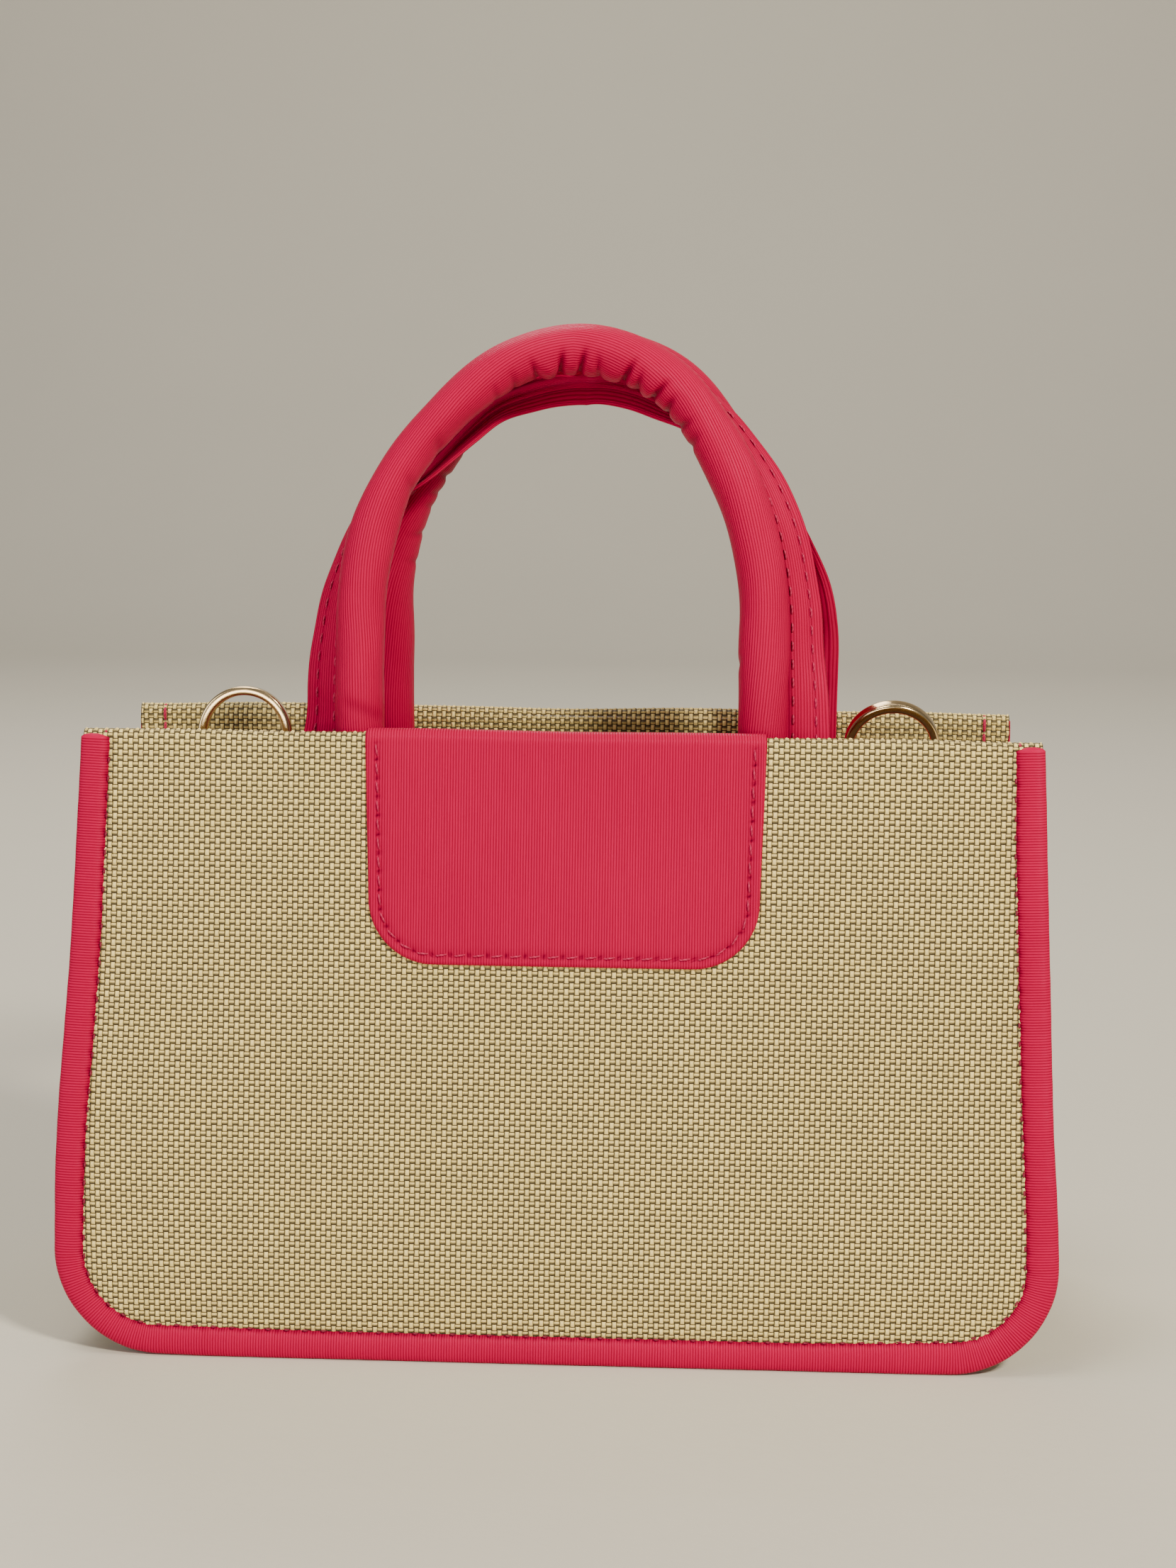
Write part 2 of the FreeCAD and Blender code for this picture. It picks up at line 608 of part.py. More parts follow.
# ---------------------------------------------------------------- the pieces
def build():
    os.makedirs("parts", exist_ok=True)

    for name, make in (("panel", canvas_panel), ("stiffener", stiffener), ("lining", panel_lining)):
        front = stand_front(make())
        export("front_" + name, front)
        export("back_" + name, to_back(front))
    for name, make in (("piping", piping), ("piping_filler", piping_filler)):
        front = make()
        export("front_" + name, front)
        export("back_" + name, to_back(front))
    export("front_patch", stand_front(patch()))

    board_z = BASE_Z + CANVAS + GAP
    lining_z = board_z + BASE_BOARD + GAP
    export("base_panel", base_layer(BASE_Z, BASE_Z + CANVAS, GAP))
    export("base_board", base_layer(board_z, board_z + BASE_BOARD, BASE_BOARD_INSET))
    export("base_lining", base_layer(lining_z, lining_z + LINING, BASE_LINING_INSET))

    lining_near = CANVAS + GAP
    lining_ends = LINING + 4 * GAP
    lining_top = GUSSET_TOP - GUSSET_LINING_DROP
    for name, shape in (
        ("gusset", gusset(0, CANVAS, 0, GUSSET_TOP)),
        ("gusset_lining", gusset(lining_near, lining_near + LINING, lining_ends, lining_top)),
    ):
        export("right_" + name, shape)
        export("left_" + name, to_back(shape))

    front_cover = stand_handle(handle_cover(FRONT_FLANGE_TURN, FRONT_FLANGE_WIDTH_TOP), FRONT_HANDLE_LEAN)
    back_cover = handle_cover(BACK_FLANGE_TURN, BACK_FLANGE_WIDTH_TOP)
    back_cover = to_back(stand_handle(back_cover, BACK_HANDLE_LEAN))
    export("front_handle_cover", front_cover)
    export("front_handle_core", stand_handle(handle_core(), FRONT_HANDLE_LEAN))
    export("back_handle_cover", moved_to(back_cover, BACK_HANDLE_SHIFT, 0, 0))
    back_core = to_back(stand_handle(handle_core(), BACK_HANDLE_LEAN))
    export("back_handle_core", moved_to(back_core, BACK_HANDLE_SHIFT, 0, 0))
    for side, side_name in ((-1, "left"), (1, "right")):
        export("front_handle_tab_" + side_name, handle_tab(side))
        back_tab = to_back(handle_tab(-side))
        export("back_handle_tab_" + side_name, moved_to(back_tab, BACK_HANDLE_SHIFT, 0, 0))

    for side, side_name, lean in ((-1, "left", LEFT_RING_LEAN), (1, "right", RIGHT_RING_LEAN)):
        export(side_name + "_ring", moved_to(ring(lean), side * RING_X, 0, RING_BAR_Z))
        export(side_name + "_ring_tab", moved_to(ring_tab(), side * RING_X, 0, 0))


build()
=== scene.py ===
import json
import math

import bmesh
import bpy
import numpy as np
from mathutils import Matrix, Vector


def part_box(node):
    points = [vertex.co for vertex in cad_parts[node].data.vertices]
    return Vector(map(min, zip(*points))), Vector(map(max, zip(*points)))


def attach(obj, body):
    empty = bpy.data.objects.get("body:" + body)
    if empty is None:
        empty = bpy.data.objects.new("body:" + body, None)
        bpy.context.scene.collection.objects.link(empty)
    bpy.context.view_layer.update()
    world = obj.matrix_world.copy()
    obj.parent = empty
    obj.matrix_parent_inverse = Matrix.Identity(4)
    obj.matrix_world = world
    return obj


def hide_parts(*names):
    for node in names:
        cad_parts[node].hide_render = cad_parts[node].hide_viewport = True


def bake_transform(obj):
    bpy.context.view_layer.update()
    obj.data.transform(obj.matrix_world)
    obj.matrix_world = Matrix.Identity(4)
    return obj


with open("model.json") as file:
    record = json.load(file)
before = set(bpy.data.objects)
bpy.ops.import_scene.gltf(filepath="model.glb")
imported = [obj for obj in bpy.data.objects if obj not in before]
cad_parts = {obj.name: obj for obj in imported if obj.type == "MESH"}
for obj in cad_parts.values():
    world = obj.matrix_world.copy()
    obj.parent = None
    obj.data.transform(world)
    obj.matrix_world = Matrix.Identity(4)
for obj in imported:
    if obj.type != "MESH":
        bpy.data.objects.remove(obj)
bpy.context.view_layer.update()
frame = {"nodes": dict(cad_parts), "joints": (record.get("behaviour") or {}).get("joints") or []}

# Looks of a small structured tote bag: woven canvas panels, ribbed leatherette piping and patch, padded
# handles with sewn seam flanges, and D-rings. Everything is in metres in the CAD frame: X runs across the
# bag, -Y is the front and +Z is up. A panel is shaped flat first: x across, depth into the bag, up along
# it. A piece's "cloth" values lay out its ribs or its weave, and its painted shade values darken its
# creases, stitch holes, seams and hems, where shade would fall.

MM = 0.001

# ---------------------------------------------------------------- the bag's sizes
BASE_DEPTH = 100.0 * MM
MOUTH_DEPTH = 68.0 * MM
RIM_HEIGHT = 162.5 * MM
HALF_WIDTH_LOW = 129.0 * MM
HALF_WIDTH_TOP = 123.7 * MM
WIDEST_UP = 38.0 * MM
PIPING_TOP_UP = 161.0 * MM
CORNER_RADIUS = 27.0 * MM
FLOOR_PRESS = 0.2 * MM
CANVAS = 1.2 * MM
LEATHERETTE = 1.1 * MM
STITCH_PITCH = 4.8 * MM
THREAD_SINK = 0.35 * MM
# Painted shade given to the rounded caps at the ends of tubes.
CAP_SHADE = 0.1

LEAN = math.atan((BASE_DEPTH - MOUTH_DEPTH) / 2 / RIM_HEIGHT)
RIM_UP = RIM_HEIGHT / math.cos(LEAN)
TAPER = math.atan((HALF_WIDTH_LOW - HALF_WIDTH_TOP) / (PIPING_TOP_UP - WIDEST_UP))
CORNER_X = HALF_WIDTH_LOW - (
    CORNER_RADIUS - (WIDEST_UP - CORNER_RADIUS) * math.sin(TAPER)
) / math.cos(TAPER)

RIM_RADIUS = 2.0 * MM
SHOULDER = RIM_UP - RIM_RADIUS
FOLD_END = SHOULDER + math.pi * RIM_RADIUS
NEAR_RIM = 150.0 * MM
FACING_DROP = 30.0 * MM
FACING_EAR_UP = 151.6 * MM
EAR_INSET = 0.8 * MM
FRONT_LINE_INSET = 5.6 * MM
BACK_LINE_INSET = 6.8 * MM
WOVEN_EDGE_INSET = 5.9 * MM
SEAM_INSET = 7.5 * MM
SEAM_DIP = 0.55 * MM
WEAVE_PITCH_X = 1.35 * MM
WEAVE_PITCH_Z = 1.49 * MM
WEAVE_BUMP = 0.7 * MM
PANEL_CROWN = 1.5 * MM
LINING_DEPTH = 3.2 * MM
LINING_PITCH = 0.45 * MM
RIB_PITCH = 0.7 * MM
RIB_DEPTH = 0.10 * MM

PIPING_WIDTH = 7.5 * MM
PIPING_THICKNESS = 3.9 * MM
PIPING_BACK = 2.7 * MM
GUSSET_BEHIND = PIPING_BACK + 0.1 * MM

PATCH_CENTRE = 1.7 * MM
PATCH_HALF_TOP = 51.4 * MM
PATCH_HALF_LOW = 50.2 * MM
PATCH_DROP = 59.4 * MM
PATCH_LOW = RIM_UP - PATCH_DROP
PATCH_CORNER = 17.0 * MM
PATCH_CORNER_UP = PATCH_LOW + PATCH_CORNER
PATCH_INNER_DROP = 15.0 * MM
PATCH_STITCH_SIDE = 3.0 * MM
PATCH_STITCH_LOW = 2.6 * MM
PATCH_STITCH_SLANT = 0.22 * MM

GUSSET_INSET = 2.2 * MM
GUSSET_TOP = 149.5 * MM
BASE_TUCK = 1.0 * MM
GUSSET_FOLD = 31.8 * MM
PINCH_START = 60.0 * MM
PINCH_FULL = 125.0 * MM
PINCH_SPREAD = 9.2 * MM
PINCH_HALF_GAP = 1.0 * MM
PINCH_MOUTH = 0.73

HANDLE_LEG = 52.6 * MM
HANDLE_RADIUS = 6.45 * MM
HANDLE_STRAIGHT = 19.0 * MM
HANDLE_ARCH = 71.6 * MM
HANDLE_TOP_RADIUS = 42.0 * MM
HANDLE_TAB_BOTTOM = 128.2 * MM
FLANGE_THICKNESS = 2.2 * MM
FLANGE_WIDTH_LOW = 11.3 * MM
FLANGE_ROOT_ANGLE = 0.13
FLANGE_TURN_LENGTH = 85.0 * MM
FLANGE_END_Z = 138.5 * MM
STITCHED_LENGTH = 62.0 * MM
BEND_START = -7.0 * MM
BEND_RUN = 16.0 * MM
ARCH_SKEW = 2.2 * MM
FOAM_INSET = 2.1 * MM

RING_OUTER = 12.7 * MM
RING_WALL = 2.5 * MM
RING_DEPTH = 4.0 * MM
RING_LEG = 4.6 * MM
RING_BAR_RADIUS = 1.3 * MM
RING_TAB_HALF = 9.0 * MM
RING_TAB_LOW_Z = 130.0 * MM
RING_TAB_WAIST_Z = 148.0 * MM
RING_TAB_INNER_Y = 3.1 * MM
RING_TAB_STITCH_PITCH = 3.6 * MM

JOINTS = {joint["name"]: Vector(joint["pos_m"]) for joint in frame["joints"]}


# ---------------------------------------------------------------- numbers and lines
def step_smooth(x, low, high):
    """Smooth step from 0 at low to 1 at high."""
    t = np.clip((x - low) / (high - low), 0, 1)
    return t * t * (3 - 2 * t)


def bump_at(x, centre, width, power=2):
    """Smooth bump of height 1; a higher power makes its top flatter."""
    return np.exp(-(((x - centre) / width) ** power))


def smooth_interp(x, xs, ys):
    """Smooth curve through given values (Catmull-Rom slopes)."""
    x, xs, ys = np.asarray(x, float), np.asarray(xs, float), np.asarray(ys, float)
    slopes = np.gradient(ys, xs)
    i = np.clip(np.searchsorted(xs, x) - 1, 0, len(xs) - 2)
    h = xs[i + 1] - xs[i]
    t = np.clip((x - xs[i]) / h, 0, 1)
    return (
        (2 * t**3 - 3 * t**2 + 1) * ys[i]
        + (t**3 - 2 * t**2 + t) * h * slopes[i]
        + (3 * t**2 - 2 * t**3) * ys[i + 1]
        + (t**3 - t**2) * h * slopes[i + 1]
    )


def waves(x, seed, lengths, amplitude):
    """Sum of a few slow waves with seeded phases."""
    local = np.random.default_rng(seed)
    total = 0
    for length in lengths:
        total = total + np.sin(2 * np.pi * x / length + local.uniform(0, 2 * np.pi))
    return amplitude * total / len(lengths)


def unit(vectors):
    return vectors / np.linalg.norm(vectors, axis=-1, keepdims=True)


def full_turn(count):
    return 2 * np.pi * np.arange(count) / count


def rounded_box(count, wide, thick, wide_power, thick_power):
    """Section between an ellipse and a box; powers under 1 make its sides flatter."""
    c, s = np.cos(full_turn(count)), np.sin(full_turn(count))
    across = np.sign(c) * np.abs(c) ** wide_power * wide / 2
    through = np.sign(s) * np.abs(s) ** thick_power * thick / 2
    return across, through


def point_list(x, y, z):
    """The points of a grid, one below the other."""
    return np.stack(np.broadcast_arrays(x, y, z), axis=-1).reshape(-1, 3)


def running_length(path):
    return np.concatenate([[0], np.cumsum(np.linalg.norm(np.diff(path, axis=0), axis=1))])


def at_lengths(wanted, length, values):
    """A line's values at wanted lengths along it."""
    return np.stack([np.interp(wanted, length, column) for column in values.T], axis=-1)


# ---------------------------------------------------------------- meshes
def new_object(name, points, faces, material, cloth=None, painted_shade=None):
    """A mesh piece with its cloth coordinates (for the ribs or the weave) and its painted shade, the
    darkening of its creases, holes and seams.
    """
    mesh = bpy.data.meshes.new(name)
    mesh.from_pydata(np.asarray(points, float).tolist(), [], [list(map(int, face)) for face in faces])
    mesh.update()
    mesh.polygons.foreach_set("use_smooth", np.ones(len(mesh.polygons), bool))
    if cloth is not None:
        attribute = mesh.attributes.new("cloth", "FLOAT_VECTOR", "POINT")
        attribute.data.foreach_set("vector", np.asarray(cloth, np.float32).ravel())
    if painted_shade is None:
        painted_shade = np.zeros(len(points))
    attribute = mesh.attributes.new("painted_shade", "FLOAT", "POINT")
    attribute.data.foreach_set("value", np.asarray(painted_shade, np.float32).ravel())
    obj = bpy.data.objects.new(name, mesh)
    bpy.context.scene.collection.objects.link(obj)
    mesh.materials.append(material)
    return obj


def dress(obj, slot, *nodes, body="bag"):
    """Hide the CAD nodes a piece replaces and hang the piece on the body that carries it; slot, the name of
    its material, is not used.
    """
    if nodes:
        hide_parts(*nodes)
    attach(obj, body)


def grid_faces(rows, columns, closed=False, flip=False):
    """Quads between the rows of a grid of points; a closed grid joins its last column to its first."""
    r = np.arange(rows - 1)[:, None]
    c = np.arange(columns if closed else columns - 1)[None, :]
    after = (c + 1) % columns
    a, b = r * columns + c, r * columns + after
    d, e = (r + 1) * columns + c, (r + 1) * columns + after
    quads = np.stack([a, b, e, d], axis=-1).reshape(-1, 4)
    return quads[:, ::-1] if flip else quads


def closed_tube(rows, columns, flip=False):
    """Faces of a tube with a flat face at both ends."""
    last = (rows - 1) * columns
    ends = [list(range(columns)), [last + k for k in reversed(range(columns))]]
    return list(grid_faces(rows, columns, closed=True, flip=flip)) + ends


def capped_tube(points, columns, cloth=None, painted_shade=None, bulge=0.35, flip=False):
    """Tube with slightly rounded caps: its points, faces, cloth coordinates and painted shade, caps included.
    """
    rows, count = len(points) // columns, len(points)
    cloth = np.zeros((count, 3)) if cloth is None else cloth
    painted_shade = np.zeros(count) if painted_shade is None else painted_shade
    faces = list(grid_faces(rows, columns, closed=True, flip=flip))
    all_points, like = [points], [np.arange(count)]
    for row, beside, turned_over in ((0, 1, True), (rows - 1, rows - 2, False)):
        ring = row * columns + np.arange(columns)
        centre = points[ring].mean(axis=0)
        out = unit(centre - points[beside * columns + np.arange(columns)].mean(axis=0))
        rise = out * np.linalg.norm(points[ring] - centre, axis=1).mean() * bulge
        previous = ring
        for scale, share in ((0.8, 0.6), (0.4, 0.95), (0.0, 1.0)):
            if scale > 0:
                here = count + np.arange(columns)
                corners = [previous, np.roll(previous, -1), np.roll(here, -1), here]
            else:
                here = np.array([count])
                corners = [previous, np.roll(previous, -1), np.full(columns, count)]
            like.append(ring[: len(here)])
            all_points.append(centre + (points[like[-1]] - centre) * scale + rise * share)
            step = np.stack(corners, axis=-1)
            faces += list(step[:, ::-1] if turned_over else step)
            previous = here
            count += len(here)
    like = np.concatenate(like)
    # The caps get a little painted shade.
    painted_shade = np.where(np.arange(count) < len(points), painted_shade[like], CAP_SHADE)
    return np.concatenate(all_points), faces, cloth[like], painted_shade


def drop_flat(points, quads):
    """Leave out quads that have no area, where the grid was clipped to an outline."""
    smallest = 1e-10
    a, b, c, d = (points[quads[:, i]] for i in range(4))
    area = np.linalg.norm(np.cross(c - a, d - b), axis=1)
    return quads[area > smallest]


def clean(obj):
    """Merge points that lie on each other and drop loose ones."""
    work = bmesh.new()
    work.from_mesh(obj.data)
    bmesh.ops.remove_doubles(work, verts=work.verts, dist=1e-7)
    loose = [v for v in work.verts if not v.link_faces]
    bmesh.ops.delete(work, geom=loose, context="VERTS")
    work.to_mesh(obj.data)
    work.free()
    return obj


# ---------------------------------------------------------------- sewing
def stitches_along(path, normals, pitch=STITCH_PITCH, share=0.74, offset=0.0):
    """Start points, end points and directions off the cloth of the stitches along a line of points."""
    path, normals = np.asarray(path, float), np.asarray(normals, float)
    length = running_length(path)
    count = int((length[-1] - offset) / pitch)
    begin = offset + np.arange(count) * pitch + pitch * (1 - share) / 2
    finish = begin + pitch * share
    starts, ends = at_lengths(begin, length, path), at_lengths(finish, length, path)
    return starts, ends, at_lengths((begin + finish) / 2, length, normals)


def stitch_mesh(name, rows, material, radius, lift=0.28 * MM):
    """Thread stitches in rows: each one comes out of the cloth, lies on it and goes back in."""
    starts, ends, normals = (np.concatenate([row[k] for row in rows])[:, None, None] for k in range(3))
    along = ends - starts
    length = np.linalg.norm(along, axis=-1, keepdims=True)
    along = along / length
    normals = unit(normals - along * np.sum(normals * along, axis=-1, keepdims=True))
    across = np.cross(along, normals)
    shares = np.array([0.0, 0.08, 0.25, 0.5, 0.75, 0.92, 1.0])[:, None, None]
    heights = np.array([-THREAD_SINK, 0.0, lift, lift * 1.15, lift, 0.0, -THREAD_SINK])[:, None, None]
    widths = radius * np.array([0.7, 0.85, 1.0, 1.08, 1.0, 0.85, 0.7])[:, None, None]
    angles = full_turn(8)[:, None]
    centre = starts + along * length * shares + normals * heights
    points = centre + across * widths * np.cos(angles) + normals * widths * 0.8 * np.sin(angles)
    count, stations, sides = points.shape[:3]
    number = np.arange(count)[:, None, None]
    cloth = point_list(length[..., 0] * shares[..., 0], widths[..., 0] * angles[:, 0], number)
    one = closed_tube(stations, sides)
    size = stations * sides
    faces = [[base + k for k in face] for base in range(0, count * size, size) for face in one]
    return new_object(name, points.reshape(-1, 3), faces, material, cloth)


# ---------------------------------------------------------------- materials
class Shader:
    """A material whose nodes are added with short calls."""

    def __init__(self, name, **principled):
        self.material = bpy.data.materials.new(name)
        self.material.use_nodes = True
        self.tree = self.material.node_tree
        self.tree.nodes.clear()
        output = self.tree.nodes.new("ShaderNodeOutputMaterial")
        self.surface = self.tree.nodes.new("ShaderNodeBsdfPrincipled")
        self.tree.links.new(self.surface.outputs["BSDF"], output.inputs["Surface"])
        self.set(**principled)

    def set(self, **values):
        for key, value in values.items():
            self.plug(self.surface.inputs[key.replace("_", " ")], value)

    def plug(self, socket, value):
        if isinstance(value, bpy.types.NodeSocket):
            self.tree.links.new(value, socket)
        elif isinstance(value, tuple) and len(value) == 3 and socket.type == "RGBA":
            socket.default_value = (*value, 1.0)
        else:
            socket.default_value = value

    def node(self, kind, inputs=None, output=0, **settings):
        made = self.tree.nodes.new("ShaderNode" + kind)
        for key, value in settings.items():
            setattr(made, key, value)
        for key, value in (inputs or {}).items():
            self.plug(made.inputs[key], value)
        return made.outputs[output]

    def math(self, operation, first, second=0.0, third=0.0, clamp=False):
        return self.node("Math", {0: first, 1: second, 2: third}, operation=operation, use_clamp=clamp)

    def times(self, first, second):
        return self.math("MULTIPLY", first, second)

    def plus(self, first, second):
        return self.math("ADD", first, second)

    def minus(self, first, second, clamp=False):
        return self.math("SUBTRACT", first, second, clamp=clamp)

    def scaled(self, value, factor, offset):
        return self.math("MULTIPLY_ADD", value, factor, offset)

    def wave(self, value):
        """Sine of a value, between 0 and 1."""
        return self.scaled(self.math("SINE", value), 0.5, 0.5)

    def vary(self, tone, value, amount, drop=None):
        """Raise a tone by an amount as a value goes from 0 to 1, from half the amount (or drop) below it."""
        return self.scaled(value, amount, self.minus(tone, amount / 2 if drop is None else drop))

    def attribute(self, name, output):
        return self.node("Attribute", output=output, attribute_name=name)

    def cloth(self):
        """The three numbers of the cloth coordinates."""
        made = self.tree.nodes.new("ShaderNodeSeparateXYZ")
        self.plug(made.inputs[0], self.attribute("cloth", "Vector"))
        return tuple(made.outputs)

    def join(self, x, y, z=0.0):
        return self.node("CombineXYZ", {0: x, 1: y, 2: z})

    def noise(self, scale, detail=2.0, roughness=0.5, vector=None):
        if vector is None:
            vector = self.node("TexCoord", output="Object")
        inputs = {"Vector": vector, "Scale": scale, "Detail": detail, "Roughness": roughness}
        return self.node("TexNoise", inputs)

    def streaks(self, across, along, third, detail, roughness=0.6):
        """Noise drawn out over the cloth; across and along each give a coordinate and its scale."""
        return self.noise(1.0, detail, roughness, self.join(self.times(*across), self.times(*along), third))

    def random(self, x, y, z):
        return self.node("TexWhiteNoise", {"Vector": self.join(x, y, z)}, noise_dimensions="3D")

    def ramp(self, value, low, high, start=0.0, end=1.0, smooth=True):
        kind = "SMOOTHSTEP" if smooth else "LINEAR"
        inputs = {"Value": value, "From Min": low, "From Max": high, "To Min": start, "To Max": end}
        return self.node("MapRange", inputs, interpolation_type=kind)

    def mix(self, factor, first, second, blend="MIX"):
        return self.node("Mix", {0: factor, 6: first, 7: second}, 2, data_type="RGBA", blend_type=blend)

    def brighten(self, colour, factor):
        """Multiply a colour by a value."""
        grey = self.node("CombineColor", {0: factor, 1: factor, 2: factor})
        return self.mix(1.0, colour, grey, "MULTIPLY")

    def crease(self, colour, darkest):
        """Darken a colour by the piece's painted shade: shade painted into its creases, holes and seams."""
        dark = self.ramp(self.attribute("painted_shade", "Fac"), 0.0, 1.0, 1.0, darkest, smooth=False)
        return self.brighten(colour, dark)

    def bump(self, height, distance):
        return self.node("Bump", {"Height": height, "Distance": distance})


def woven_material(name, warp_colour, weft_colour, painted_gap_shade):
    """Plain weave read from the cloth coordinates, which count yarns across and along."""
    s = Shader(name, Specular_IOR_Level=0.45)
    across, along, _ = s.cloth()
    cell_x, cell_z = s.math("FLOOR", across), s.math("FLOOR", along)
    local_x = s.minus(s.math("FRACT", across), 0.5)
    local_z = s.minus(s.math("FRACT", along), 0.5)
    weft = s.math("FLOORED_MODULO", s.plus(cell_x, cell_z), 2.0)
    warp = s.minus(1.0, weft)

    def choose(if_weft, if_warp):
        return s.plus(s.times(if_weft, weft), s.times(if_warp, warp))

    side = choose(local_z, local_x)
    length = choose(local_x, local_z)
    yarn_id = choose(cell_z, s.plus(cell_x, 311.0))
    squeezed = s.math("DIVIDE", side, choose(0.39, 0.45))
    round_yarn = s.math("SQRT", s.minus(1.0, s.times(squeezed, squeezed), clamp=True))
    arch = s.math("COSINE", s.times(length, choose(2.7, 2.2)))
    height = s.times(round_yarn, s.times(choose(0.72, 1.0), s.scaled(arch, 0.6, 0.4)))
    strands = s.math("SINE", s.plus(s.times(side, 30.0), s.times(length, 9.0)))
    tone = s.scaled(s.random(yarn_id, 0.0, weft), 0.10, 0.88)
    tone = s.vary(tone, s.random(cell_x, cell_z, 5.0), 0.16, 0.02)
    tone = s.vary(tone, s.streaks((across, 0.23), (along, 0.9), weft, 2.0), 0.14)
    tone = s.vary(s.scaled(strands, 0.05, tone), s.noise(14.0, 3.0), 0.14)
    # Painted shade: the lower half of each weft float and the left flank of each warp float are darkened, as
    # if lit from above and the right.
    painted_shade_weft_underside = s.ramp(local_z, -0.20, 0.20, 0.13, 1.0)
    painted_shade_warp_flank = s.ramp(local_x, -0.45, -0.12, 0.16, 1.0)
    tone = s.times(tone, choose(painted_shade_weft_underside, painted_shade_warp_flank))
    yarn = s.brighten(s.mix(weft, warp_colour, weft_colour), tone)
    # Painted shade: where the yarns sink into the gaps between them the colour goes to near black.
    colour = s.mix(s.ramp(height, 0.05, 0.55), painted_gap_shade, yarn)
    s.set(Base_Color=s.crease(colour, 0.35), Normal=s.bump(s.scaled(strands, 0.06, height), WEAVE_BUMP))
    s.set(Roughness=s.ramp(height, 0.0, 1.0, 0.7, 0.40))
    return s.material


def ribbed_material(name, colour, painted_groove_shade):
    """Leatherette with fine ribs; the cloth coordinates give metres across the ribs and along them."""
    s = Shader(name, Specular_IOR_Level=0.07, Specular_Tint=(1.0, 0.25, 0.45, 1.0))
    across, along, layer = s.cloth()
    drift = s.streaks((across, 900.0), (along, 60.0), layer, 2.0, 0.5)
    phase = s.scaled(drift, 2.2, s.times(across, 2 * math.pi / RIB_PITCH))
    uneven = s.streaks((across, 500.0), (along, 160.0), layer, 3.0)
    rib = s.times(s.math("POWER", s.wave(phase), 0.6), s.scaled(uneven, 0.8, 0.55))
    pores = s.noise(2600.0, 3.0, 0.6)
    tone = s.vary(s.scaled(s.noise(26.0, 4.0, 0.55), 0.16, 0.92), pores, 0.06)
    # Painted shade: the grooves between the ribs take a darker pink.
    base = s.brighten(s.mix(s.ramp(rib, 0.05, 0.8), painted_groove_shade, colour), tone)
    s.set(Base_Color=s.crease(base, 0.12), Normal=s.bump(s.scaled(pores, 0.22, rib), RIB_DEPTH))
    s.set(Roughness=s.scaled(rib, -0.08, s.scaled(s.noise(90.0, 2.0), 0.16, 0.32)))
    return s.material


def thread_material(name, colour):
    """Twisted sewing thread."""
    s = Shader(name, Specular_IOR_Level=0.3, Roughness=0.6)
    along, around, stitch = s.cloth()
    ply = s.wave(s.plus(s.times(along, 5200.0), s.times(around, 9000.0)))
    # Painted shade: the grooves between the twisted plies are darker; the tone also differs at random from
    # stitch to stitch.
    tone = s.vary(s.scaled(ply, 0.3, 0.75), s.random(stitch, 0.0, 0.0), 0.12)
    s.set(Base_Color=s.brighten(colour, tone), Normal=s.bump(ply, 0.08 * MM))
    return s.material


def lining_material(name, colour):
    """Thin plain cotton: a fine weave that only shows up close."""
    s = Shader(name, Specular_IOR_Level=0.2, Sheen_Weight=0.2, Roughness=0.85)
    across, along, _ = s.cloth()
    warp, weft = (s.math("SINE", s.times(value, 2 * math.pi / LINING_PITCH)) for value in (across, along))
    weave = s.scaled(s.times(warp, weft), 0.5, 0.5)
    slub = s.streaks((across, 2200.0), (along, 120.0), 0.0, 3.0)
    tone = s.vary(s.vary(s.scaled(weave, 0.12, 0.86), slub, 0.14), s.noise(18.0, 3.0), 0.12)
    s.set(Base_Color=s.brighten(colour, tone), Normal=s.bump(weave, 0.05 * MM))
    return s.material


def board_material(name, colour):
    """Grey stiffening board and filler that stay hidden inside."""
    s = Shader(name, Specular_IOR_Level=0.2, Roughness=0.9)
    fibres = s.noise(420.0, 5.0, 0.7)
    s.set(Base_Color=s.brighten(colour, s.scaled(fibres, 0.3, 0.85)), Normal=s.bump(fibres, 0.1 * MM))
    return s.material


def metal_material(name, colour):
    """Pale gold plating with fine polishing marks."""
    s = Shader(name, Metallic=1.0)
    marks = s.noise(1800.0, 3.0, 0.6)
    haze = s.noise(160.0, 3.0, 0.6)
    s.set(Base_Color=s.brighten(colour, s.scaled(haze, 0.14, 0.93)))
    s.set(Roughness=s.scaled(haze, 0.14, 0.12), Normal=s.bump(marks, 0.01 * MM))
    return s.material


def floor_material(name, colour):
    """Pale, slightly grained surface."""
    s = Shader(name, Roughness=0.75, Specular_IOR_Level=0.2)
    grain = s.noise(260.0, 4.0, 0.6)
    s.set(Base_Color=s.brighten(colour, s.scaled(s.noise(5.0, 3.0), 0.04, 0.98)))
    s.set(Normal=s.bump(grain, 0.12 * MM))
    return s.material


